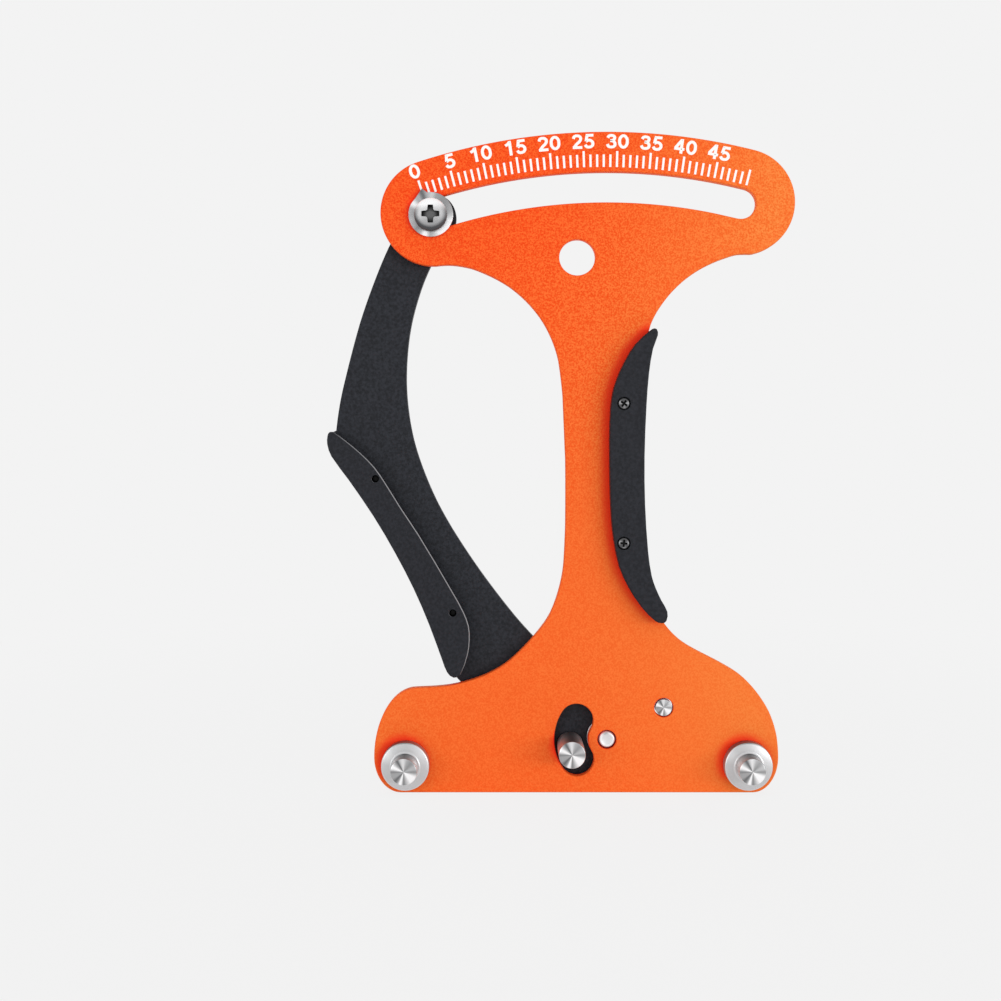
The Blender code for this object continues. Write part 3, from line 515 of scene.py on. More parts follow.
def piece(name, shape, body, *finishes, even=True):
    """Makes a shape into a finished object that rides on a body."""
    mesh = mesh_of(name, shape) if isinstance(shape, bmesh.types.BMesh) else shape
    mesh.name = name
    for finish in finishes:
        mesh.materials.append(finish)
    mesh.shade_smooth()
    mesh.set_sharp_from_angle(angle=SHARP)
    obj = placed(name, mesh)
    if even:
        weighted = obj.modifiers.new("even_shading", "WEIGHTED_NORMAL")
        weighted.keep_sharp = True
    if body:
        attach(obj, body)
    return obj


def stand_in(node, shape, *finishes):
    """Makes a shape into the finished piece that stands for a CAD node."""
    obj = piece(node + "_finished", shape, NODES[node]["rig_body"], *finishes)
    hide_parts(node)
    return obj


# Materials

class Socket:
    """A value in a material, which takes part in sums."""

    def __init__(self, recipe, output):
        self.recipe = recipe
        self.output = output

    def __add__(self, other):
        return self.recipe.maths("ADD", self, other)

    def __sub__(self, other):
        return self.recipe.maths("SUBTRACT", self, other)

    def __rsub__(self, other):
        return self.recipe.maths("SUBTRACT", other, self)

    def __mul__(self, other):
        return self.recipe.maths("MULTIPLY", self, other)

    __radd__ = __add__
    __rmul__ = __mul__


class Recipe:
    """The nodes of one material or of the world."""

    def __init__(self, owner):
        owner.use_nodes = True
        self.owner = owner
        self.tree = owner.node_tree

    def add(self, kind, options=None, *values, at=(), output=0, **named):
        """Adds a node. Its sockets are fed in their order, by their numbers or by their names."""
        node = self.tree.nodes.new("ShaderNode" + kind)
        for option, value in (options or {}).items():
            setattr(node, option, value)
        for key, value in [*enumerate(values), *at, *named.items()]:
            self.feed(node.inputs[key if isinstance(key, int) else key.replace("_", " ")], value)
        return Socket(self, node.outputs[output])

    def feed(self, target, value):
        if isinstance(value, Socket):
            self.tree.links.new(value.output, target)
        else:
            target.default_value = value

    def maths(self, operation, *values):
        return self.add("Math", {"operation": operation}, *values)

    def vector(self, operation, *values, output=0):
        return self.add("VectorMath", {"operation": operation}, *values, output=output)

    def measure(self, operation, *values):
        """A number that is worked out from vectors."""
        return self.vector(operation, *values, output=1)

    def mix(self, share, low, high, blend="MIX"):
        low, high = [end if isinstance(end, Socket) else (*end, 1) for end in (low, high)]
        options = {"data_type": "RGBA", "blend_type": blend}
        return self.add("Mix", options, at=((0, share), (6, low), (7, high)), output=2)

    def mottled(self, share, base, darkest, lightest):
        """A colour that goes from a darker to a lighter tone of itself."""
        ends = [tuple(min(1, channel * gain) for channel in base) for gain in (darkest, lightest)]
        return self.mix(share, *ends)

    def smooth(self, value, low, high, to_low=0.0, to_high=1.0):
        return self.add("MapRange", {"interpolation_type": "SMOOTHSTEP"}, value, low, high, to_low, to_high)


class Finish(Recipe):
    """A material on the principled shader, in object coordinates."""

    def __init__(self, name, **constants):
        super().__init__(bpy.data.materials.new(name))
        self.shader = self.tree.nodes["Principled BSDF"]
        self.set(**constants)
        self.place = self.add("TexCoord", output=3)

    def set(self, **values):
        for name, value in values.items():
            self.feed(self.shader.inputs[name.replace("_", " ")], value)

    def axes(self, centre=(0, 0, 0)):
        """How far across and how far up a place lies from a centre."""
        split = self.add("SeparateXYZ", None, self.vector("SUBTRACT", self.place, tuple(centre)))
        outputs = split.output.node.outputs
        return Socket(self, outputs["X"]), Socket(self, outputs["Z"])

    def reach(self, across, up):
        """The distance from a centre, as seen from the front."""
        return self.measure("LENGTH", self.add("CombineXYZ", None, across, 0.0, up))

    def noise(self, size, detail=2.0, rough=0.5):
        return self.add("TexNoise", None, Vector=self.place, Scale=1 / size, Detail=detail, Roughness=rough)

    def wedged(self, across, up, wedges):
        """Light and dark wedges round a centre, as an amount to add to a plain brightness."""
        bearing = self.maths("ARCTAN2", across, up)
        bright = 0.0
        for middle_deg, half_deg, gain in wedges:
            turned = self.maths("WRAP", bearing - math.radians(middle_deg), math.pi, -math.pi)
            off = self.maths("ABSOLUTE", turned)
            bright = self.smooth(off, math.radians(half_deg), 0.0, 0.0, gain) + bright
        return bright

    def banded(self, across, up, distance, bands):
        """Brightness by rings round a centre. A band is its inner radius and its tone."""
        bright = 0.0
        for inner, (plain, wedges) in bands:
            tone_here = self.wedged(across, up, wedges) + plain
            if inner:
                share_here = self.smooth(distance, inner - BAND_BLUR, inner + BAND_BLUR)
                bright = (tone_here - bright) * share_here + bright
            else:
                bright = tone_here
        return bright

    def rough(self, share, middling, spread=0.1):
        """Makes the roughness vary a little about its middle value."""
        self.set(Roughness=share * spread + (middling - spread / 2))

    def bump(self, height, depth, strength):
        self.set(Normal=self.add("Bump", None, Strength=strength, Distance=depth, Height=height))


# The plate's painted lighting, lighter towards the right and lower down as the lights fall, is a curved sheet
# over the plate: a bend and a slope each way, a twist and a level
SHEET_WIDTH = 60 * MM
SHEET_HEIGHT = 100 * MM
RIGHT_BEND = 0.39
RIGHT_SLOPE = 0.50
TWIST = 0.16
UP_BEND = 0.20
UP_SLOPE = 0.48
LEVEL = 0.22
SPECKLE_DARK = (0.91, 0.56, 0.18)
SPECKLE_LIGHT = (1.04, 1.43, 1.90)
SPECKLE_RANGE = (0.32, 0.68)
SPECKLE_UP = (-100 * MM, 0.0, 0.45, 1.0)  # the speckle is weaker low down, and at the right
SPECKLE_RIGHT = (0.0, 36 * MM, 1.0, 0.68)
SHADE_LEAN = (0.55, 0.0, -0.40)  # the painted shade lies to the upper left of what it is close to
SHADE_RANGE = (0.97, 0.45)
SHADE_FOOT = (PLATE_FOOT + 2.2 * MM, PLATE_FOOT + 5.2 * MM)  # the floor gives the plate's foot no painted shade


def plate_paint():
    """Orange powder coat, with painted light and shade. It is painted lighter towards the right and lower
    down, and painted redder as shade where it lies close to other pieces and inside the holes.
    """
    plate = settings("plate")
    paint = Finish("orange_powder_coat", Specular_IOR_Level=0.1)
    across, up = paint.axes()
    right = across * (1 / SHEET_WIDTH)
    high = up * (1 / SHEET_HEIGHT)
    rightwards = right * (right * RIGHT_BEND + high * TWIST + RIGHT_SLOPE)
    painted_lighting = rightwards - high * (high * UP_BEND + UP_SLOPE) + LEVEL
    # painted lighting: the orange is painted lighter towards the right and lower down
    body = paint.mix(paint.add("Clamp", None, painted_lighting), plate.deep, plate.light)
    speckle = paint.smooth(paint.noise(plate.grain), *SPECKLE_RANGE)
    strength = paint.smooth(up, *SPECKLE_UP) * paint.smooth(across, *SPECKLE_RIGHT)
    dark = paint.mix(1.0, body, SPECKLE_DARK, "MULTIPLY")
    light = paint.mix(1.0, body, SPECKLE_LIGHT, "MULTIPLY")
    speckled = paint.mix((speckle - 0.5) * strength + 0.5, dark, light)
    leaning = paint.vector("ADD", paint.add("NewGeometry", output=1), SHADE_LEAN)
    options = {"samples": 8}
    open_sky = paint.add("AmbientOcclusion", options, Distance=plate.glow_reach, Normal=leaning, output=1)
    # painted shade: redder where nearby pieces or a hole's walls shut out the light
    painted_shade = paint.smooth(open_sky, *SHADE_RANGE) * paint.smooth(up, *SHADE_FOOT)
    paint.set(Base_Color=paint.mix(painted_shade, speckled, plate.glow))
    paint.rough(speckle, plate.roughness, spread=0.12)
    paint.bump(speckle, plate.grain_depth, strength=0.5)
    return paint.owner


MOTTLING_RANGE = (0.3, 0.7)
LEVER_TEXTURE = 0.02 * MM


def lever_paint():
    lever = settings("lever")
    paint = Finish("dark_powder_coat", Specular_IOR_Level=0.15)
    mottling = paint.smooth(paint.noise(lever.grain, detail=4.0, rough=0.65), *MOTTLING_RANGE)
    paint.set(Base_Color=paint.mottled(mottling, lever.paint, darkest=0.55, lightest=1.45))
    paint.rough(mottling, 0.5)
    paint.bump(mottling, LEVER_TEXTURE, strength=0.4)
    return paint.owner


PLASTIC_GRAIN = 0.25 * MM
PLASTIC_TEXTURE = 0.01 * MM
HIGHLIGHT_FACING = (0.97, 0.0, 0.26)  # the way that the bevel with the painted highlight faces, towards the key light
HIGHLIGHT_RANGE = (0.44, 0.68)
FORWARDS = (0.0, -1.0, 0.0)
FRONT_RANGE = (0.15, 0.45)


def grip_plastic(name="moulded_plastic", lit_edge=False):
    """Plastic of the grips. On the lever's grip a painted highlight, a light line, lies on the bevel along
    the inner side.
    """
    lever = settings("lever")
    plastic = Finish(name, Specular_IOR_Level=0.14)
    cloud = plastic.smooth(plastic.noise(lever.grain, detail=3.0, rough=0.6), *MOTTLING_RANGE)
    fine = plastic.noise(PLASTIC_GRAIN)
    cloud_and_highlight = plastic.mottled(cloud, lever.plastic, darkest=0.72, lightest=1.28)
    if lit_edge:
        # painted highlight on the bevel that faces right and forwards
        normal = plastic.add("NewGeometry", output=1)
        lean = plastic.smooth(plastic.measure("DOT_PRODUCT", normal, HIGHLIGHT_FACING), *HIGHLIGHT_RANGE)
        front = plastic.smooth(plastic.measure("DOT_PRODUCT", normal, FORWARDS), *FRONT_RANGE)
        cloud_and_highlight = plastic.mix(lean * front, cloud_and_highlight, lever.grip_line)
    plastic.set(Base_Color=cloud_and_highlight)
    plastic.rough(fine, 0.42, spread=0.08)
    plastic.bump(fine, PLASTIC_TEXTURE, strength=0.3)
    return plastic.owner


INK_GRAIN = 0.5 * MM


def ink():
    print_ink = Finish("scale_ink", Specular_IOR_Level=0.2, Roughness=0.6)
    speckle = print_ink.noise(INK_GRAIN, detail=3.0)
    print_ink.set(Base_Color=print_ink.mottled(speckle, settings("scale").ink, darkest=0.95, lightest=1.04))
    return print_ink.owner


TURNED_GRAIN = 0.3 * MM
TURNED_MOTTLING = 0.08
LATHE_DEPTH = 0.004 * MM


def turned_steel(name, centre, *bands, roughness=0.35):
    """Turned steel, with painted highlights, reflections and shade: the light and dark wedges of its lathe
    marks on the faces towards the front.
    """
    metal = settings("metal")
    steel = Finish(name, Metallic=metal.shine)
    place = steel.axes(centre)
    distance = steel.reach(*place)
    fine = steel.noise(TURNED_GRAIN)
    brightness = steel.banded(*place, distance, bands) + (fine - 0.5) * TURNED_MOTTLING
    steel.set(Base_Color=steel.mix(steel.add("Clamp", None, brightness), metal.dark, metal.bright))
    steel.rough(fine, roughness, spread=0.08)
    rings = steel.maths("SINE", distance * (2 * math.pi / metal.lathe_pitch))
    steel.bump(rings, LATHE_DEPTH, strength=0.25)
    return steel.owner


HEAD_GRAIN = 0.35 * MM
HEAD_MOTTLING = 0.06
HEAD_LEAN = 42.0  # how much darker the pan head's steel is for each metre to the right, against the key light
HEAD_UP = (-5.0 * MM, 2.4 * MM, 0.22, 0.6)
HEAD_TOP = (1.0 * MM, 3.4 * MM, 0.0, 0.42)
HEAD_RIM = (3.0 * MM, 4.6 * MM, 0.0, 0.4)
HEAD_RIM_UP = (0.0, 3.6 * MM, 1.0, 0.0)


def pan_head_steel(centre):
    """Steel of the pan head, with painted light and shade: bright above, and darker below and towards its
    rim.
    """
    metal = settings("metal")
    steel = Finish("pan_head_steel", Metallic=0.35, Specular_IOR_Level=0.3, Roughness=0.5)
    across, up = steel.axes(centre)
    shade = steel.smooth(up, *HEAD_UP) + steel.smooth(up, *HEAD_TOP)
    fall = steel.smooth(steel.reach(across, up), *HEAD_RIM) * steel.smooth(up, *HEAD_RIM_UP)
    fine = steel.noise(HEAD_GRAIN)
    brightness = (shade - fall) * (1.0 - across * HEAD_LEAN) + (fine - 0.5) * HEAD_MOTTLING
    steel.set(Base_Color=steel.mix(steel.add("Clamp", None, brightness), metal.dark, metal.bright))
    return steel.owner


BLACK_GRAIN = 0.4 * MM


def black_steel():
    steel = Finish("black_steel", Specular_IOR_Level=0.6)
    fine = steel.noise(BLACK_GRAIN)
    steel.set(Base_Color=steel.mottled(fine, settings("metal").black, darkest=0.8, lightest=1.3))
    steel.rough(fine, 0.3)
    return steel.owner


SHADE_BLACK_TONES = ((0.004, 0.004, 0.004), (0.010, 0.010, 0.010))


def deep_black():
    """Blackened steel painted darker as shade, for steel that lies in a hole, where hardly any light reaches
    it.
    """
    steel = Finish("deep_black_steel", Specular_IOR_Level=0.1, Roughness=0.5)
    steel.set(Base_Color=steel.mix(steel.noise(BLACK_GRAIN), *SHADE_BLACK_TONES))
    return steel.owner


GLINT_RADIUS = 1.45 * MM


def grip_screw_steel(name, centre):
    """Blackened steel of the sunk heads, with painted glints: light patches at both sides."""
    metal = settings("metal")
    steel = Finish(name, Specular_IOR_Level=0.5)
    place = steel.axes(centre)
    worn = steel.banded(*place, steel.reach(*place), ((0, GLINT_TONE), (GLINT_RADIUS, NO_GLINT_TONE)))
    steel.set(Base_Color=steel.mix(worn, metal.black, metal.worn))
    steel.rough(steel.noise(BLACK_GRAIN), 0.35)
    return steel.owner


RECESS_GRAIN = 0.5 * MM
RECESS_SHADE_TONES = ((0.010, 0.010, 0.011), (0.15, 0.15, 0.152))
RECESS_RANGE = (2.1 * MM, 0.9 * MM)


def recess_steel(name="recess_steel", centre=None):
    """Steel inside a recess, painted dark as shade. With a centre it is painted lighter there than in the
    arms' ends.
    """
    steel = Finish(name, Specular_IOR_Level=0.3, Roughness=0.5)
    fine = steel.noise(RECESS_GRAIN)
    light = fine * 0.4 + 0.3
    if centre:
        light = steel.smooth(steel.reach(*steel.axes(centre)), *RECESS_RANGE) * (fine * 0.2 + 0.8)
    steel.set(Base_Color=steel.mix(light, *RECESS_SHADE_TONES))
    return steel.owner


WIRE_GRAIN = 0.5 * MM


def spring_wire():
    wire = Finish("spring_wire", Metallic=1.0)
    fine = wire.noise(WIRE_GRAIN)
    wire.set(Base_Color=wire.mottled(fine, settings("metal").wire, darkest=0.85, lightest=1.12))
    wire.rough(fine, 0.3)
    return wire.owner


MADE = {}


def shared(maker):
    """One material for all the pieces that have the same finish."""
    if maker not in MADE:
        MADE[maker] = maker()
    return MADE[maker]


# Operators

class PieceOperator(bpy.types.Operator):
    """Base of the operators that make pieces"""

    bl_options = {"REGISTER", "UNDO"}

    def execute(self, context):
        self.make()
        return {"FINISHED"}


class TENSION_OT_face_plate(PieceOperator):
    """Make the painted face plate"""

    bl_idname = "tension.face_plate"
    bl_label = "Face plate"

    def make(self):
        shape = flat_shape("face_plate", settings("plate").edge)
        stand_in("face_plate", shape, shared(plate_paint))


class TENSION_OT_scale(PieceOperator):
    """Print the marks and numerals of the scale"""

    bl_idname = "tension.scale"
    bl_label = "Scale"

    def make(self):
        scale = settings("scale")
        step = (scale.last_bearing - scale.first_bearing) / scale.divisions
        marks = bmesh.new()
        for count in range(scale.divisions + 1):
            numbered = count % scale.numbered_every == 0
            bearing = scale.first_bearing + count * step
            self.mark(marks, bearing, scale.major_top if numbered else scale.minor_top)
            if numbered and count < scale.divisions:
                self.numeral(str(count), bearing)
        piece("scale_marks", marks, "frame", shared(ink), even=False)

    def centre(self):
        return PIVOT - Vector((settings("scale").offset, 0, 0))

    def mark(self, marks, bearing, top):
        scale = settings("scale")
        size = Matrix.Diagonal((scale.mark_width, scale.ink_height, top - scale.foot, 1))
        place = polar((top + scale.foot) / 2, bearing, self.centre())
        place.y = PLATE_FRONT - scale.ink_height / 2
        bmesh.ops.create_cube(marks, size=1, matrix=set_at(place, bearing) @ size)

    def numeral(self, text, bearing):
        scale = settings("scale")
        height = scale.numeral_height
        centre = self.centre()
        drawn = round_wire("numeral", scale.stroke, steps=3)
        drawn.resolution_u = 6
        start = -len(text) * scale.numeral_step / 2 + (scale.numeral_step - NUMERAL_FILL) / 2
        for place, figure in enumerate(text):
            for stroke in NUMERAL_STROKES[figure]:
                self.stroke(drawn, stroke, start + place * scale.numeral_step, figure in CLOSED_NUMERALS)
        mesh = swept(drawn)
        mesh.transform(set_at((centre.x, PLATE_FRONT, centre.z), bearing) @ Matrix((
            (height * scale.numeral_stretch, 0, 0, NUMERAL_SHIFTS.get(text, 0)),
            (0, 0, -2 * scale.ink_height / scale.stroke, 0),
            (0, height, 0, scale.numeral_foot),
            (0, 0, 0, 1),
        )))
        piece("scale_numeral_" + text, mesh, "frame", shared(ink), even=False)

    def stroke(self, drawn, places, start, closed):
        straight = len(places) == 2
        spline = drawn.splines.new("POLY" if straight else "BEZIER")
        points = spline.points if straight else spline.bezier_points
        points.add(len(places) - 1)
        for point, (across, up) in zip(points, places):
            place = (start + across / 100, up / 100, 0)
            if straight:
                point.co = (*place, 1)
            else:
                point.co = place
                point.handle_left_type = point.handle_right_type = "AUTO"
        spline.use_cyclic_u = closed


FILLET_STEPS = 5
FLANGE_SLOPE = 1.7 * MM  # how far in from its rim a flange's face starts to slope

# How far a ring of tone on a post starts from the edge that it belongs to
SHAFT_LAP = 0.08 * MM
FILLET_LAP = 0.12 * MM
RIM_LAP = 0.1 * MM
SIDE_LAP = 0.06 * MM


def post_profile(node, flange=None):
    """A post from the middle of its front end to its foot."""
    post = settings("post")
    front, foot = depths(node)
    profile = [(0, front), (post.shaft - post.tip_edge, front), (post.shaft, front + post.tip_edge)]
    if flange is None:
        return [*profile, (post.shaft, foot), (0, foot)]
    face = foot - post.flange
    profile.append((post.shaft, face - post.fillet))
    for angle in quarter(FILLET_STEPS)[1:]:
        out = post.shaft + post.fillet * (1 - math.cos(angle))
        profile.append((out, face - post.fillet * (1 - math.sin(angle))))
    low = face + post.flange_fall
    profile += [(flange - FLANGE_SLOPE, face), (flange - post.flange_edge, low)]
    return [*profile, (flange, low + post.flange_edge), (flange, foot), (0, foot)]


def post_bands(flange=None):
    post = settings("post")
    bands = [(0, TIP_TONE), (post.shaft - SHAFT_LAP, SHAFT_TONE)]
    if flange:
        bands += [(post.shaft + FILLET_LAP, FILLET_TONE), (post.shaft + post.fillet, FLANGE_TONE)]
        bands += [(flange - post.flange_edge - RIM_LAP, RIM_TONE), (flange - SIDE_LAP, SIDE_TONE)]
    return bands


class TENSION_OT_fixed_posts(PieceOperator):
    """Make the two fixed posts with their flanges, and their screws"""

    bl_idname = "tension.fixed_posts"
    bl_label = "Fixed posts"

    def make(self):
        for side in ("left", "right"):
            node = side + "_fixed_post"
            flange = radius(node)
            steel = turned_steel(node, middle(node), *post_bands(flange))
            stand_in(node, lathed(node, post_profile(node, flange)), steel)
            button_screw(side + "_post_screw")


BUTTON_HEIGHT = 1.8 * MM
BUTTON_DOME = 0.75 * BUTTON_HEIGHT
BUTTON_STEPS = 10
BUTTON_SHANK = 1.5 * MM
BUTTON_KEY = 2.5 * MM
KEY_DEPTH = 1.0 * MM


def keyed(shape, node, across_flats):
    """Cuts a hexagonal socket into a head at the back."""
    back = depths(node)[1]
    socket = hexagon(across_flats, back - KEY_DEPTH, back + OVERRUN, middle(node))
    return combined(shape, socket, "DIFFERENCE")


def button_screw(node):
    """A domed screw with a hexagonal socket in its head, which is at the back."""
    front, back = depths(node)
    out = radius(node)
    under = back - BUTTON_HEIGHT
    profile = [(0, front), (BUTTON_SHANK, front), (BUTTON_SHANK, under), (out, under)]
    for angle in quarter(BUTTON_STEPS)[:-1]:
        profile.append((out * math.cos(angle), back - BUTTON_DOME * (1 - math.sin(angle))))
    profile.append((0, back))  # closes the dome, because an open shape isn't always cut rightly
    shape = keyed(spun(profile, middle(node)), node, BUTTON_KEY)
    stand_in(node, shape, shared(black_steel), shared(recess_steel))


class TENSION_OT_pivot(PieceOperator):
    """Make the pivot pin, its two washers and the spring's two pins"""

    bl_idname = "tension.pivot"
    bl_label = "Pivot and pins"

    PIN = 2.4 * MM
    PIN_LAP = 0.1 * MM
    BORE_GAP = 0.3 * MM
    GROOVE = 1.5 * MM
    GROOVE_WIDTH = 1.6 * MM
    LIP = 0.8 * MM
    FOOT = 3.0 * MM
    DISH = PIN * 0.62
    DISH_DEPTH = 0.08 * MM
    DISH_SLOPE = 0.2 * MM
    CHAMFER = 0.4 * MM
    CHAMFER_LAP = 0.25 * MM
    HEAD = 1.8 * MM
    HEAD_CHAMFER = 0.6 * MM
    HEAD_KEY = 3.0 * MM

    def make(self):
        self.pivot_pin("pivot_pin")
        for node in ("pivot_spacer_washer", "pivot_back_washer"):
            self.washer(node)
        for node in ("spring_anchor_pin", "spring_hook_pin"):
            self.spring_pin(node)

    def washer(self, node):
        front, back = depths(node)
        bore = self.PIN + self.BORE_GAP
        out = radius(node)
        shape = lathed(node, [(bore, front), (out, front), (out, back), (bore, back), (bore, front)])
        stand_in(node, shape, turned_steel(node, middle(node), (0, SPACER_TONE)))

    def spring_pin(self, node):
        """A pin with a groove for the spring's hook. The hook pin also has a thinner foot in the lever."""
        front, back = depths(node)
        foot = self.PIN if node == "spring_anchor_pin" else self.GROOVE
        collar = front + self.FOOT
        groove_back = back - self.LIP
        groove_front = groove_back - self.GROOVE_WIDTH
        profile = [(0, front), (foot, front), (foot, collar), (self.PIN, collar), (self.PIN, groove_front)]
        profile += [(self.GROOVE, groove_front), (self.GROOVE, groove_back), (self.PIN, groove_back)]
        profile += [(self.PIN, back), (0, back)]
        steel = turned_steel(node, middle(node), (0, TIP_TONE), (self.PIN - self.PIN_LAP, PIN_SIDE_TONE))
        stand_in(node, lathed(node, profile), steel)

    def pivot_pin(self, node):
        front, back = depths(node)
        out = radius(node)
        dish = front + self.DISH_DEPTH
        under = back - self.HEAD
        profile = [(0, dish), (self.DISH, dish), (self.DISH + self.DISH_SLOPE, front)]
        profile += [(self.PIN - self.CHAMFER, front), (self.PIN, front + self.CHAMFER), (self.PIN, under)]
        profile += [(out, under), (out, back - self.HEAD_CHAMFER), (out - self.HEAD_CHAMFER, back), (0, back)]
        bands = ((0, DISH_TONE), (self.DISH, DISH_RIM_TONE), (self.PIN - self.CHAMFER_LAP, PIVOT_EDGE_TONE))
        steel = turned_steel(node, middle(node), *bands, roughness=0.4)
        stand_in(node, keyed(lathed(node, profile), node, self.HEAD_KEY), steel, shared(recess_steel))


class TENSION_OT_lever_arm(PieceOperator):
    """Make the painted lever arm"""

    bl_idname = "tension.lever_arm"
    bl_label = "Lever arm"

    def make(self):
        shape = flat_shape("lever_arm", settings("lever").edge)
        stand_in("lever_arm", shape, shared(lever_paint))


class TENSION_OT_centre_post(PieceOperator):
    """Make the moving post and its screw"""

    bl_idname = "tension.centre_post"
    bl_label = "Centre post"

    def make(self):
        node = "centre_post"
        steel = turned_steel(node, middle(node), *post_bands())
        stand_in(node, lathed(node, post_profile(node)), steel)
        button_screw("centre_post_screw")


NUT_SLOPE = 0.6  # depth of a nut's turned-off corner, of its width


def chamfered_nut(node, across_flats, bore):
    """A hexagon nut whose corners are turned off at both faces."""
    front, back = depths(node)
    centre = middle(node)
    flat = across_flats / 2
    corner = across_flats / math.sqrt(3)
    slope = (corner - flat) * NUT_SLOPE
    ring = [(bore, front), (flat, front), (corner, front + slope), (corner, back - slope), (flat, back)]
    ring += [(bore, back), (bore, front)]
    bar = hexagon(across_flats, front - OVERRUN, back + OVERRUN, centre)
    return combined(bar, spun(ring, centre), "INTERSECT")


class TENSION_OT_pointer(PieceOperator):
    """Make the pointer washer, its screw, the guide bush and the nut"""

    bl_idname = "tension.pointer"
    bl_label = "Pointer"

    WASHER_SHARE = 0.975  # size of the finished washer, of its solid's
    HEAD = 2.6 * MM
    CROWN = 1.5 * MM
    CROWN_STEPS = 12
    SHANK = 2.0 * MM
    SHANK_END = 0.3 * MM
    PLAIN_SHANK = 1.0 * MM
    RECESS = {"end_share": 0.84, "floor_share": 0.72, "corner": 0.35 * MM}
    RECESS_SPAN = 6.0 * MM
    RECESS_WIDTH = 2.05 * MM
    RECESS_DEPTH = 1.5 * MM
    RECESS_RIM = 0.16 * MM
    NUT_FLATS = 7.0 * MM
    NUT_BORE = 2.05 * MM

    def make(self):
        edge = settings("metal").edge
        centre = middle("pointer_nut")
        washer = flat_shape("pointer_washer", edge)
        nose = Matrix.Translation((-centre.x, 0, -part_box("pointer_washer")[1].z))
        bmesh.ops.scale(washer, verts=washer.verts, vec=(self.WASHER_SHARE, 1, self.WASHER_SHARE), space=nose)
        stand_in("pointer_washer", washer, turned_steel("pointer_washer", centre, (0, POINTER_TONE)))
        stand_in("guide_bush", softened(merged_copy("guide_bush"), edge), shared(black_steel))
        self.screw(centre)
        nut = chamfered_nut("pointer_nut", self.NUT_FLATS, self.NUT_BORE)
        stand_in("pointer_nut", nut, turned_steel("pointer_nut_steel", centre, (0, NUT_TONE)))

    def screw(self, centre):
        front, back = depths("pointer_screw")
        out = radius("pointer_screw")
        under = front + self.HEAD
        profile = []
        for angle in quarter(self.CROWN_STEPS):
            profile.append((out * math.sin(angle), front + self.CROWN * (1 - math.cos(angle))))
        profile += [(out, under), (self.SHANK, under)]
        profile += thread(self.SHANK, under + self.PLAIN_SHANK, depths("pointer_nut")[1])
        profile += [(self.SHANK - self.SHANK_END, back), (0, back)]
        ends = front - OVERRUN, front + self.RECESS_DEPTH
        recess = cross(self.RECESS_SPAN, self.RECESS_WIDTH, *ends, centre, **self.RECESS)
        shape = rimmed(combined(spun(profile, centre), recess, "DIFFERENCE"), self.RECESS_RIM)
        stand_in("pointer_screw", shape, pan_head_steel(centre), recess_steel("pointer_recess_steel", centre))


GRIP_SCREW_HEAD = 1.1 * MM
GRIP_SCREW_SHANK = 0.8 * MM
GRIP_SCREW_CHAMFER = 0.25 * MM
GRIP_SCREW_EDGE = 0.08 * MM
GRIP_SCREW_STEPS = 48
GRIP_CROSS_SPAN = 2.1 * MM
GRIP_CROSS_WIDTH = 0.6 * MM
GRIP_CROSS_DEPTH = 0.8 * MM
GRIP_NUT_FLATS = 4.0 * MM
GRIP_NUT_BORE = 0.85 * MM
RIGHT_CROSS_TURNS = (0.6, 0.1)
LEFT_CROSS_TURNS = (0.3, 0.9)


def grip_half(node, plastic):
    stand_in(node, softened(merged_copy(node), settings("lever").grip_edge), plastic)


def grip_screw(node, side, turned, steel):
    """A small screw with a cross in its flat head, which is in front for a side of -1, and behind for 1."""
    front, back = depths(node)
    centre = middle(node)
    out = radius(node)
    head, end = (front, back) if side < 0 else (back, front)
    under = head - side * GRIP_SCREW_HEAD
    profile = [(0, head), (out - GRIP_SCREW_CHAMFER, head), (out, head - side * GRIP_SCREW_CHAMFER)]
    profile += [(out, under), (GRIP_SCREW_SHANK, under), (GRIP_SCREW_SHANK, end), (0, end)]
    shape = softened(spun(profile, centre, GRIP_SCREW_STEPS), GRIP_SCREW_EDGE)
    ends = sorted((head + side * OVERRUN, head - side * GRIP_CROSS_DEPTH))
    recess = cross(GRIP_CROSS_SPAN, GRIP_CROSS_WIDTH, *ends, centre, turned)
    stand_in(node, combined(shape, recess, "DIFFERENCE"), steel, shared(deep_black))


class TENSION_OT_right_grip(PieceOperator):
    """Make the fixed grip, its screws and its nuts"""

    bl_idname = "tension.right_grip"
    bl_label = "Right grip"

    def make(self):
        for half in ("front", "back"):
            grip_half("right_grip_" + half, shared(grip_plastic))
        for level, turned in zip(LEVELS, RIGHT_CROSS_TURNS):
            screw = "right_grip_screw_" + level
            grip_screw(screw, -1, turned, grip_screw_steel(screw, middle(screw)))
            nut = "right_grip_nut_" + level
            stand_in(nut, chamfered_nut(nut, GRIP_NUT_FLATS, GRIP_NUT_BORE), shared(black_steel))


class TENSION_OT_left_grip(PieceOperator):
    """Make the lever's grip and its screws"""

    bl_idname = "tension.left_grip"
    bl_label = "Left grip"

    def make(self):
        grip_half("left_grip_front", grip_plastic("lined_plastic", lit_edge=True))
        grip_half("left_grip_back", shared(grip_plastic))
        for level, turned in zip(LEVELS, LEFT_CROSS_TURNS):
            grip_screw("left_grip_screw_" + level, 1, turned, shared(deep_black))


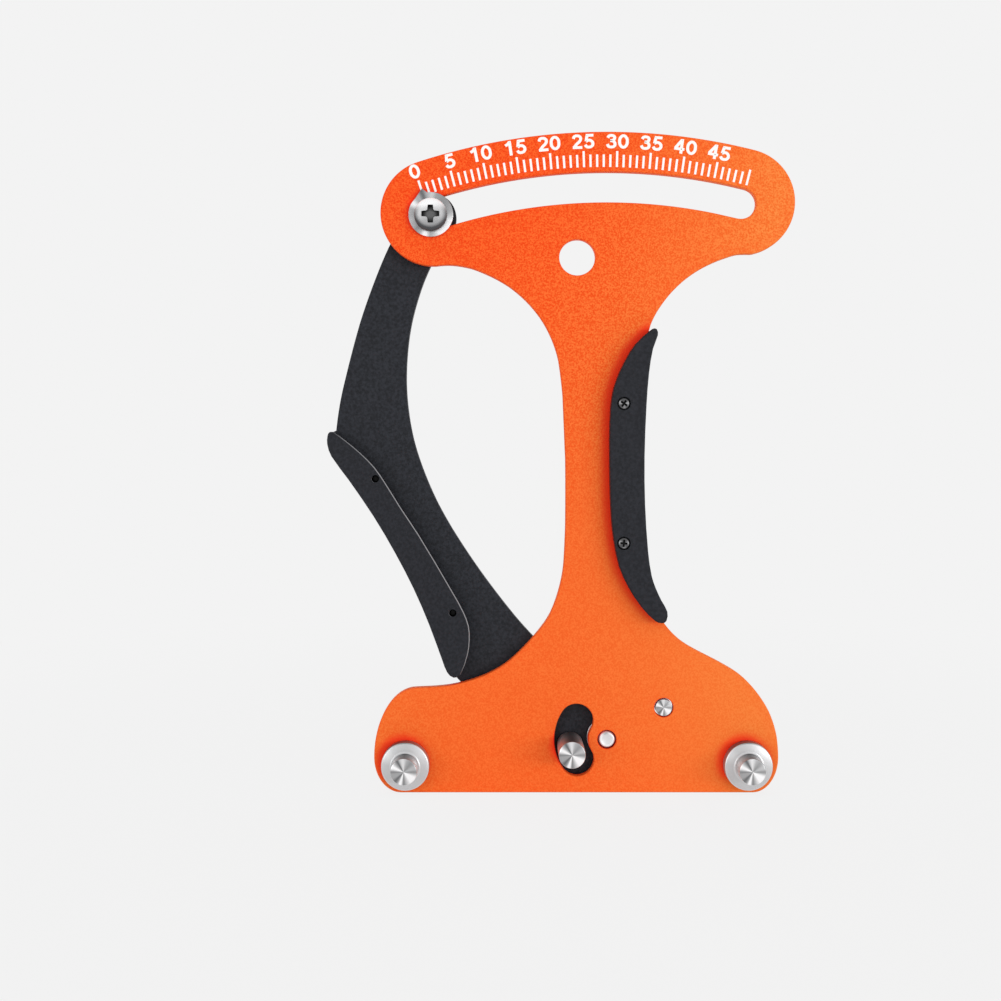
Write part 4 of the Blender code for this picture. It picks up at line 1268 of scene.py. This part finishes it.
class TENSION_OT_return_spring(PieceOperator):
    """Wind the return spring between its two pins"""

    bl_idname = "tension.return_spring"
    bl_label = "Return spring"

    WIRE = 1.0 * MM
    RADIUS = 2.16 * MM
    TURNS = 8
    PITCH = 1.5 * MM
    STEPS = 24
    DEPTH = 9.1 * MM
    HOOK_STEPS = 21
    HOOK_STEP = 10  # degrees
    LEAD_STEPS = 4

    def make(self):
        anchor = middle("spring_anchor_pin")
        hook = middle("spring_hook_pin")
        wire = round_wire("return_spring_wire", self.WIRE, steps=4)
        points = self.route(hook, anchor)
        spline = wire.splines.new("POLY")
        spline.points.add(len(points) - 1)
        for point, place in zip(spline.points, points):
            point.co = (*place, 1)
        obj = piece("return_spring_finished", swept(wire), None, shared(spring_wire), even=False)
        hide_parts("return_spring")
        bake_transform(obj)

    def route(self, hook, anchor):
        """The middle of the wire: a hook, a straight lead, the coil, and the same lead and hook backwards."""
        along = Vector((anchor.x - hook.x, 0, anchor.z - hook.z))
        span = along.length
        along.normalize()
        aside = Vector((along.z, 0, -along.x))
        coil = self.TURNS * self.PITCH
        lead = (span - coil) / 2

        def spot(forward, sideways, back=0):
            return Vector((hook.x, self.DEPTH + back, hook.z)) + along * forward + aside * sideways

        bends = [math.radians(self.HOOK_STEP * i) for i in range(self.HOOK_STEPS, 0, -1)]
        start = [(-self.RADIUS * math.sin(bend), self.RADIUS * math.cos(bend)) for bend in bends]
        start += [(lead * i / self.LEAD_STEPS, self.RADIUS) for i in range(self.LEAD_STEPS)]
        points = [spot(forward, sideways) for forward, sideways in start]
        count = self.TURNS * self.STEPS
        for i in range(count + 1):
            wound = 2 * math.pi * i / self.STEPS
            winding = self.RADIUS * math.cos(wound), self.RADIUS * math.sin(wound)
            points.append(spot(lead + coil * i / count, *winding))
        return points + [spot(span - forward, sideways) for forward, sideways in reversed(start)]


class TENSION_OT_stage(PieceOperator):
    """Make the camera, the lights, the floor and the pale surroundings"""

    bl_idname = "tension.stage"
    bl_label = "Stage"

    AIM = Vector((0, 0, -70 * MM))
    KEY_PLACE = Vector((1.60, -1.75, 0.15))
    KEY_SIZE = (1.9, 0.6)
    FILL_PLACE = Vector((-1.50, -1.75, 0.15))
    FILL_SIZE = (1.6, 0.6)
    FLOOR_GAP = 0.2 * MM
    FLOOR_RADIUS = 3.0
    FLOOR_TONE = (0.9, 0.9, 0.9, 1)
    FLOOR_FADE = (0.18, 0.42, 0.94, 1.0)  # close to the object a little of the floor's own shading shows

    def make(self):
        stage = settings("stage")
        bpy.context.scene.view_settings.view_transform = "Standard"
        self.camera(stage)
        self.surroundings(stage)
        self.floor(stage)
        self.light("key_light", self.KEY_PLACE, self.KEY_SIZE, stage.key)
        self.light("fill_light", self.FILL_PLACE, self.FILL_SIZE, stage.fill)

    def camera(self, stage):
        data = bpy.data.cameras.new("camera")
        data.lens = stage.lens
        data.shift_y = (stage.middle[1] - stage.eye_height) / stage.field
        distance = stage.field * data.lens / data.sensor_width
        eye = placed("camera", data)
        eye.location = (stage.middle[0], PLATE_FRONT - distance, stage.eye_height)
        eye.rotation_euler = (math.pi / 2, 0, 0)
        bpy.context.scene.camera = eye

    def surroundings(self, stage):
        world = Recipe(bpy.data.worlds.new("surroundings"))
        bpy.context.scene.world = world.owner
        grey = world.mix(self.seen(world), (stage.world,) * 3, stage.backdrop)
        world.feed(world.tree.nodes["Background"].inputs["Color"], grey)

    def seen(self, recipe):
        """Nought for light that falls on things, and one for what the camera and mirrors see."""
        camera_ray, glossy_ray, through_ray = [recipe.add("LightPath", output=index) for index in (0, 3, 6)]
        return recipe.add("Clamp", None, camera_ray + glossy_ray + through_ray)

    def floor(self, stage):
        shape = bmesh.new()
        place = Matrix.Translation((0, 0, PLATE_FOOT - self.FLOOR_GAP))
        bmesh.ops.create_circle(shape, cap_ends=True, segments=64, radius=self.FLOOR_RADIUS, matrix=place)
        ground = Finish("pale_floor", Base_Color=self.FLOOR_TONE, Roughness=0.9, Specular_IOR_Level=0.0)
        plain = ground.smooth(ground.measure("LENGTH", ground.place), *self.FLOOR_FADE)
        glow = ground.add("Emission", None, (*stage.backdrop, 1))
        lit = Socket(ground, ground.shader.outputs[0])
        both = ground.add("MixShader", None, self.seen(ground) * plain, lit, glow)
        ground.feed(ground.tree.nodes["Material Output"].inputs[0], both)
        obj = placed("floor", mesh_of("floor", shape))
        obj.data.materials.append(ground.owner)

    def light(self, name, offset, size, power):
        data = bpy.data.lights.new(name, "AREA")
        data.energy = power
        data.shape = "RECTANGLE"
        data.size, data.size_y = size
        place = self.AIM + offset
        lamp = placed(name, data)
        lamp.location = place
        lamp.rotation_euler = (self.AIM - place).to_track_quat("-Z", "Y").to_euler()


class TENSION_PT_sidebar(bpy.types.Panel):
    """Lists the tension meter's settings and pieces"""

    bl_idname = "TENSION_PT_sidebar"
    bl_label = "Spoke tension meter"
    bl_space_type = "VIEW_3D"
    bl_region_type = "UI"
    bl_category = "Tension meter"

    def draw(self, context):
        for group, kind in GROUPS.items():
            box = self.layout.box()
            box.label(text=group.capitalize())
            for name in kind.__annotations__:
                box.prop(settings(group), name)
        for operator in OPERATORS:
            self.layout.operator(operator.bl_idname)


OPERATORS = (
    TENSION_OT_face_plate,
    TENSION_OT_scale,
    TENSION_OT_fixed_posts,
    TENSION_OT_pivot,
    TENSION_OT_lever_arm,
    TENSION_OT_centre_post,
    TENSION_OT_pointer,
    TENSION_OT_right_grip,
    TENSION_OT_left_grip,
    TENSION_OT_return_spring,
    TENSION_OT_stage,
)
CLASSES = (*GROUPS.values(), *OPERATORS, TENSION_PT_sidebar)


def register():
    for kind in CLASSES:
        bpy.utils.register_class(kind)
    for group, kind in GROUPS.items():
        setattr(bpy.types.Scene, "tension_meter_" + group, PointerProperty(type=kind))


def unregister():
    for group in GROUPS:
        delattr(bpy.types.Scene, "tension_meter_" + group)
    for kind in reversed(CLASSES):
        bpy.utils.unregister_class(kind)


def main():
    register()
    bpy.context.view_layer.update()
    for operator in OPERATORS:
        getattr(bpy.ops.tension, operator.bl_idname.split(".")[1])()


if __name__ == "__main__":
    main()
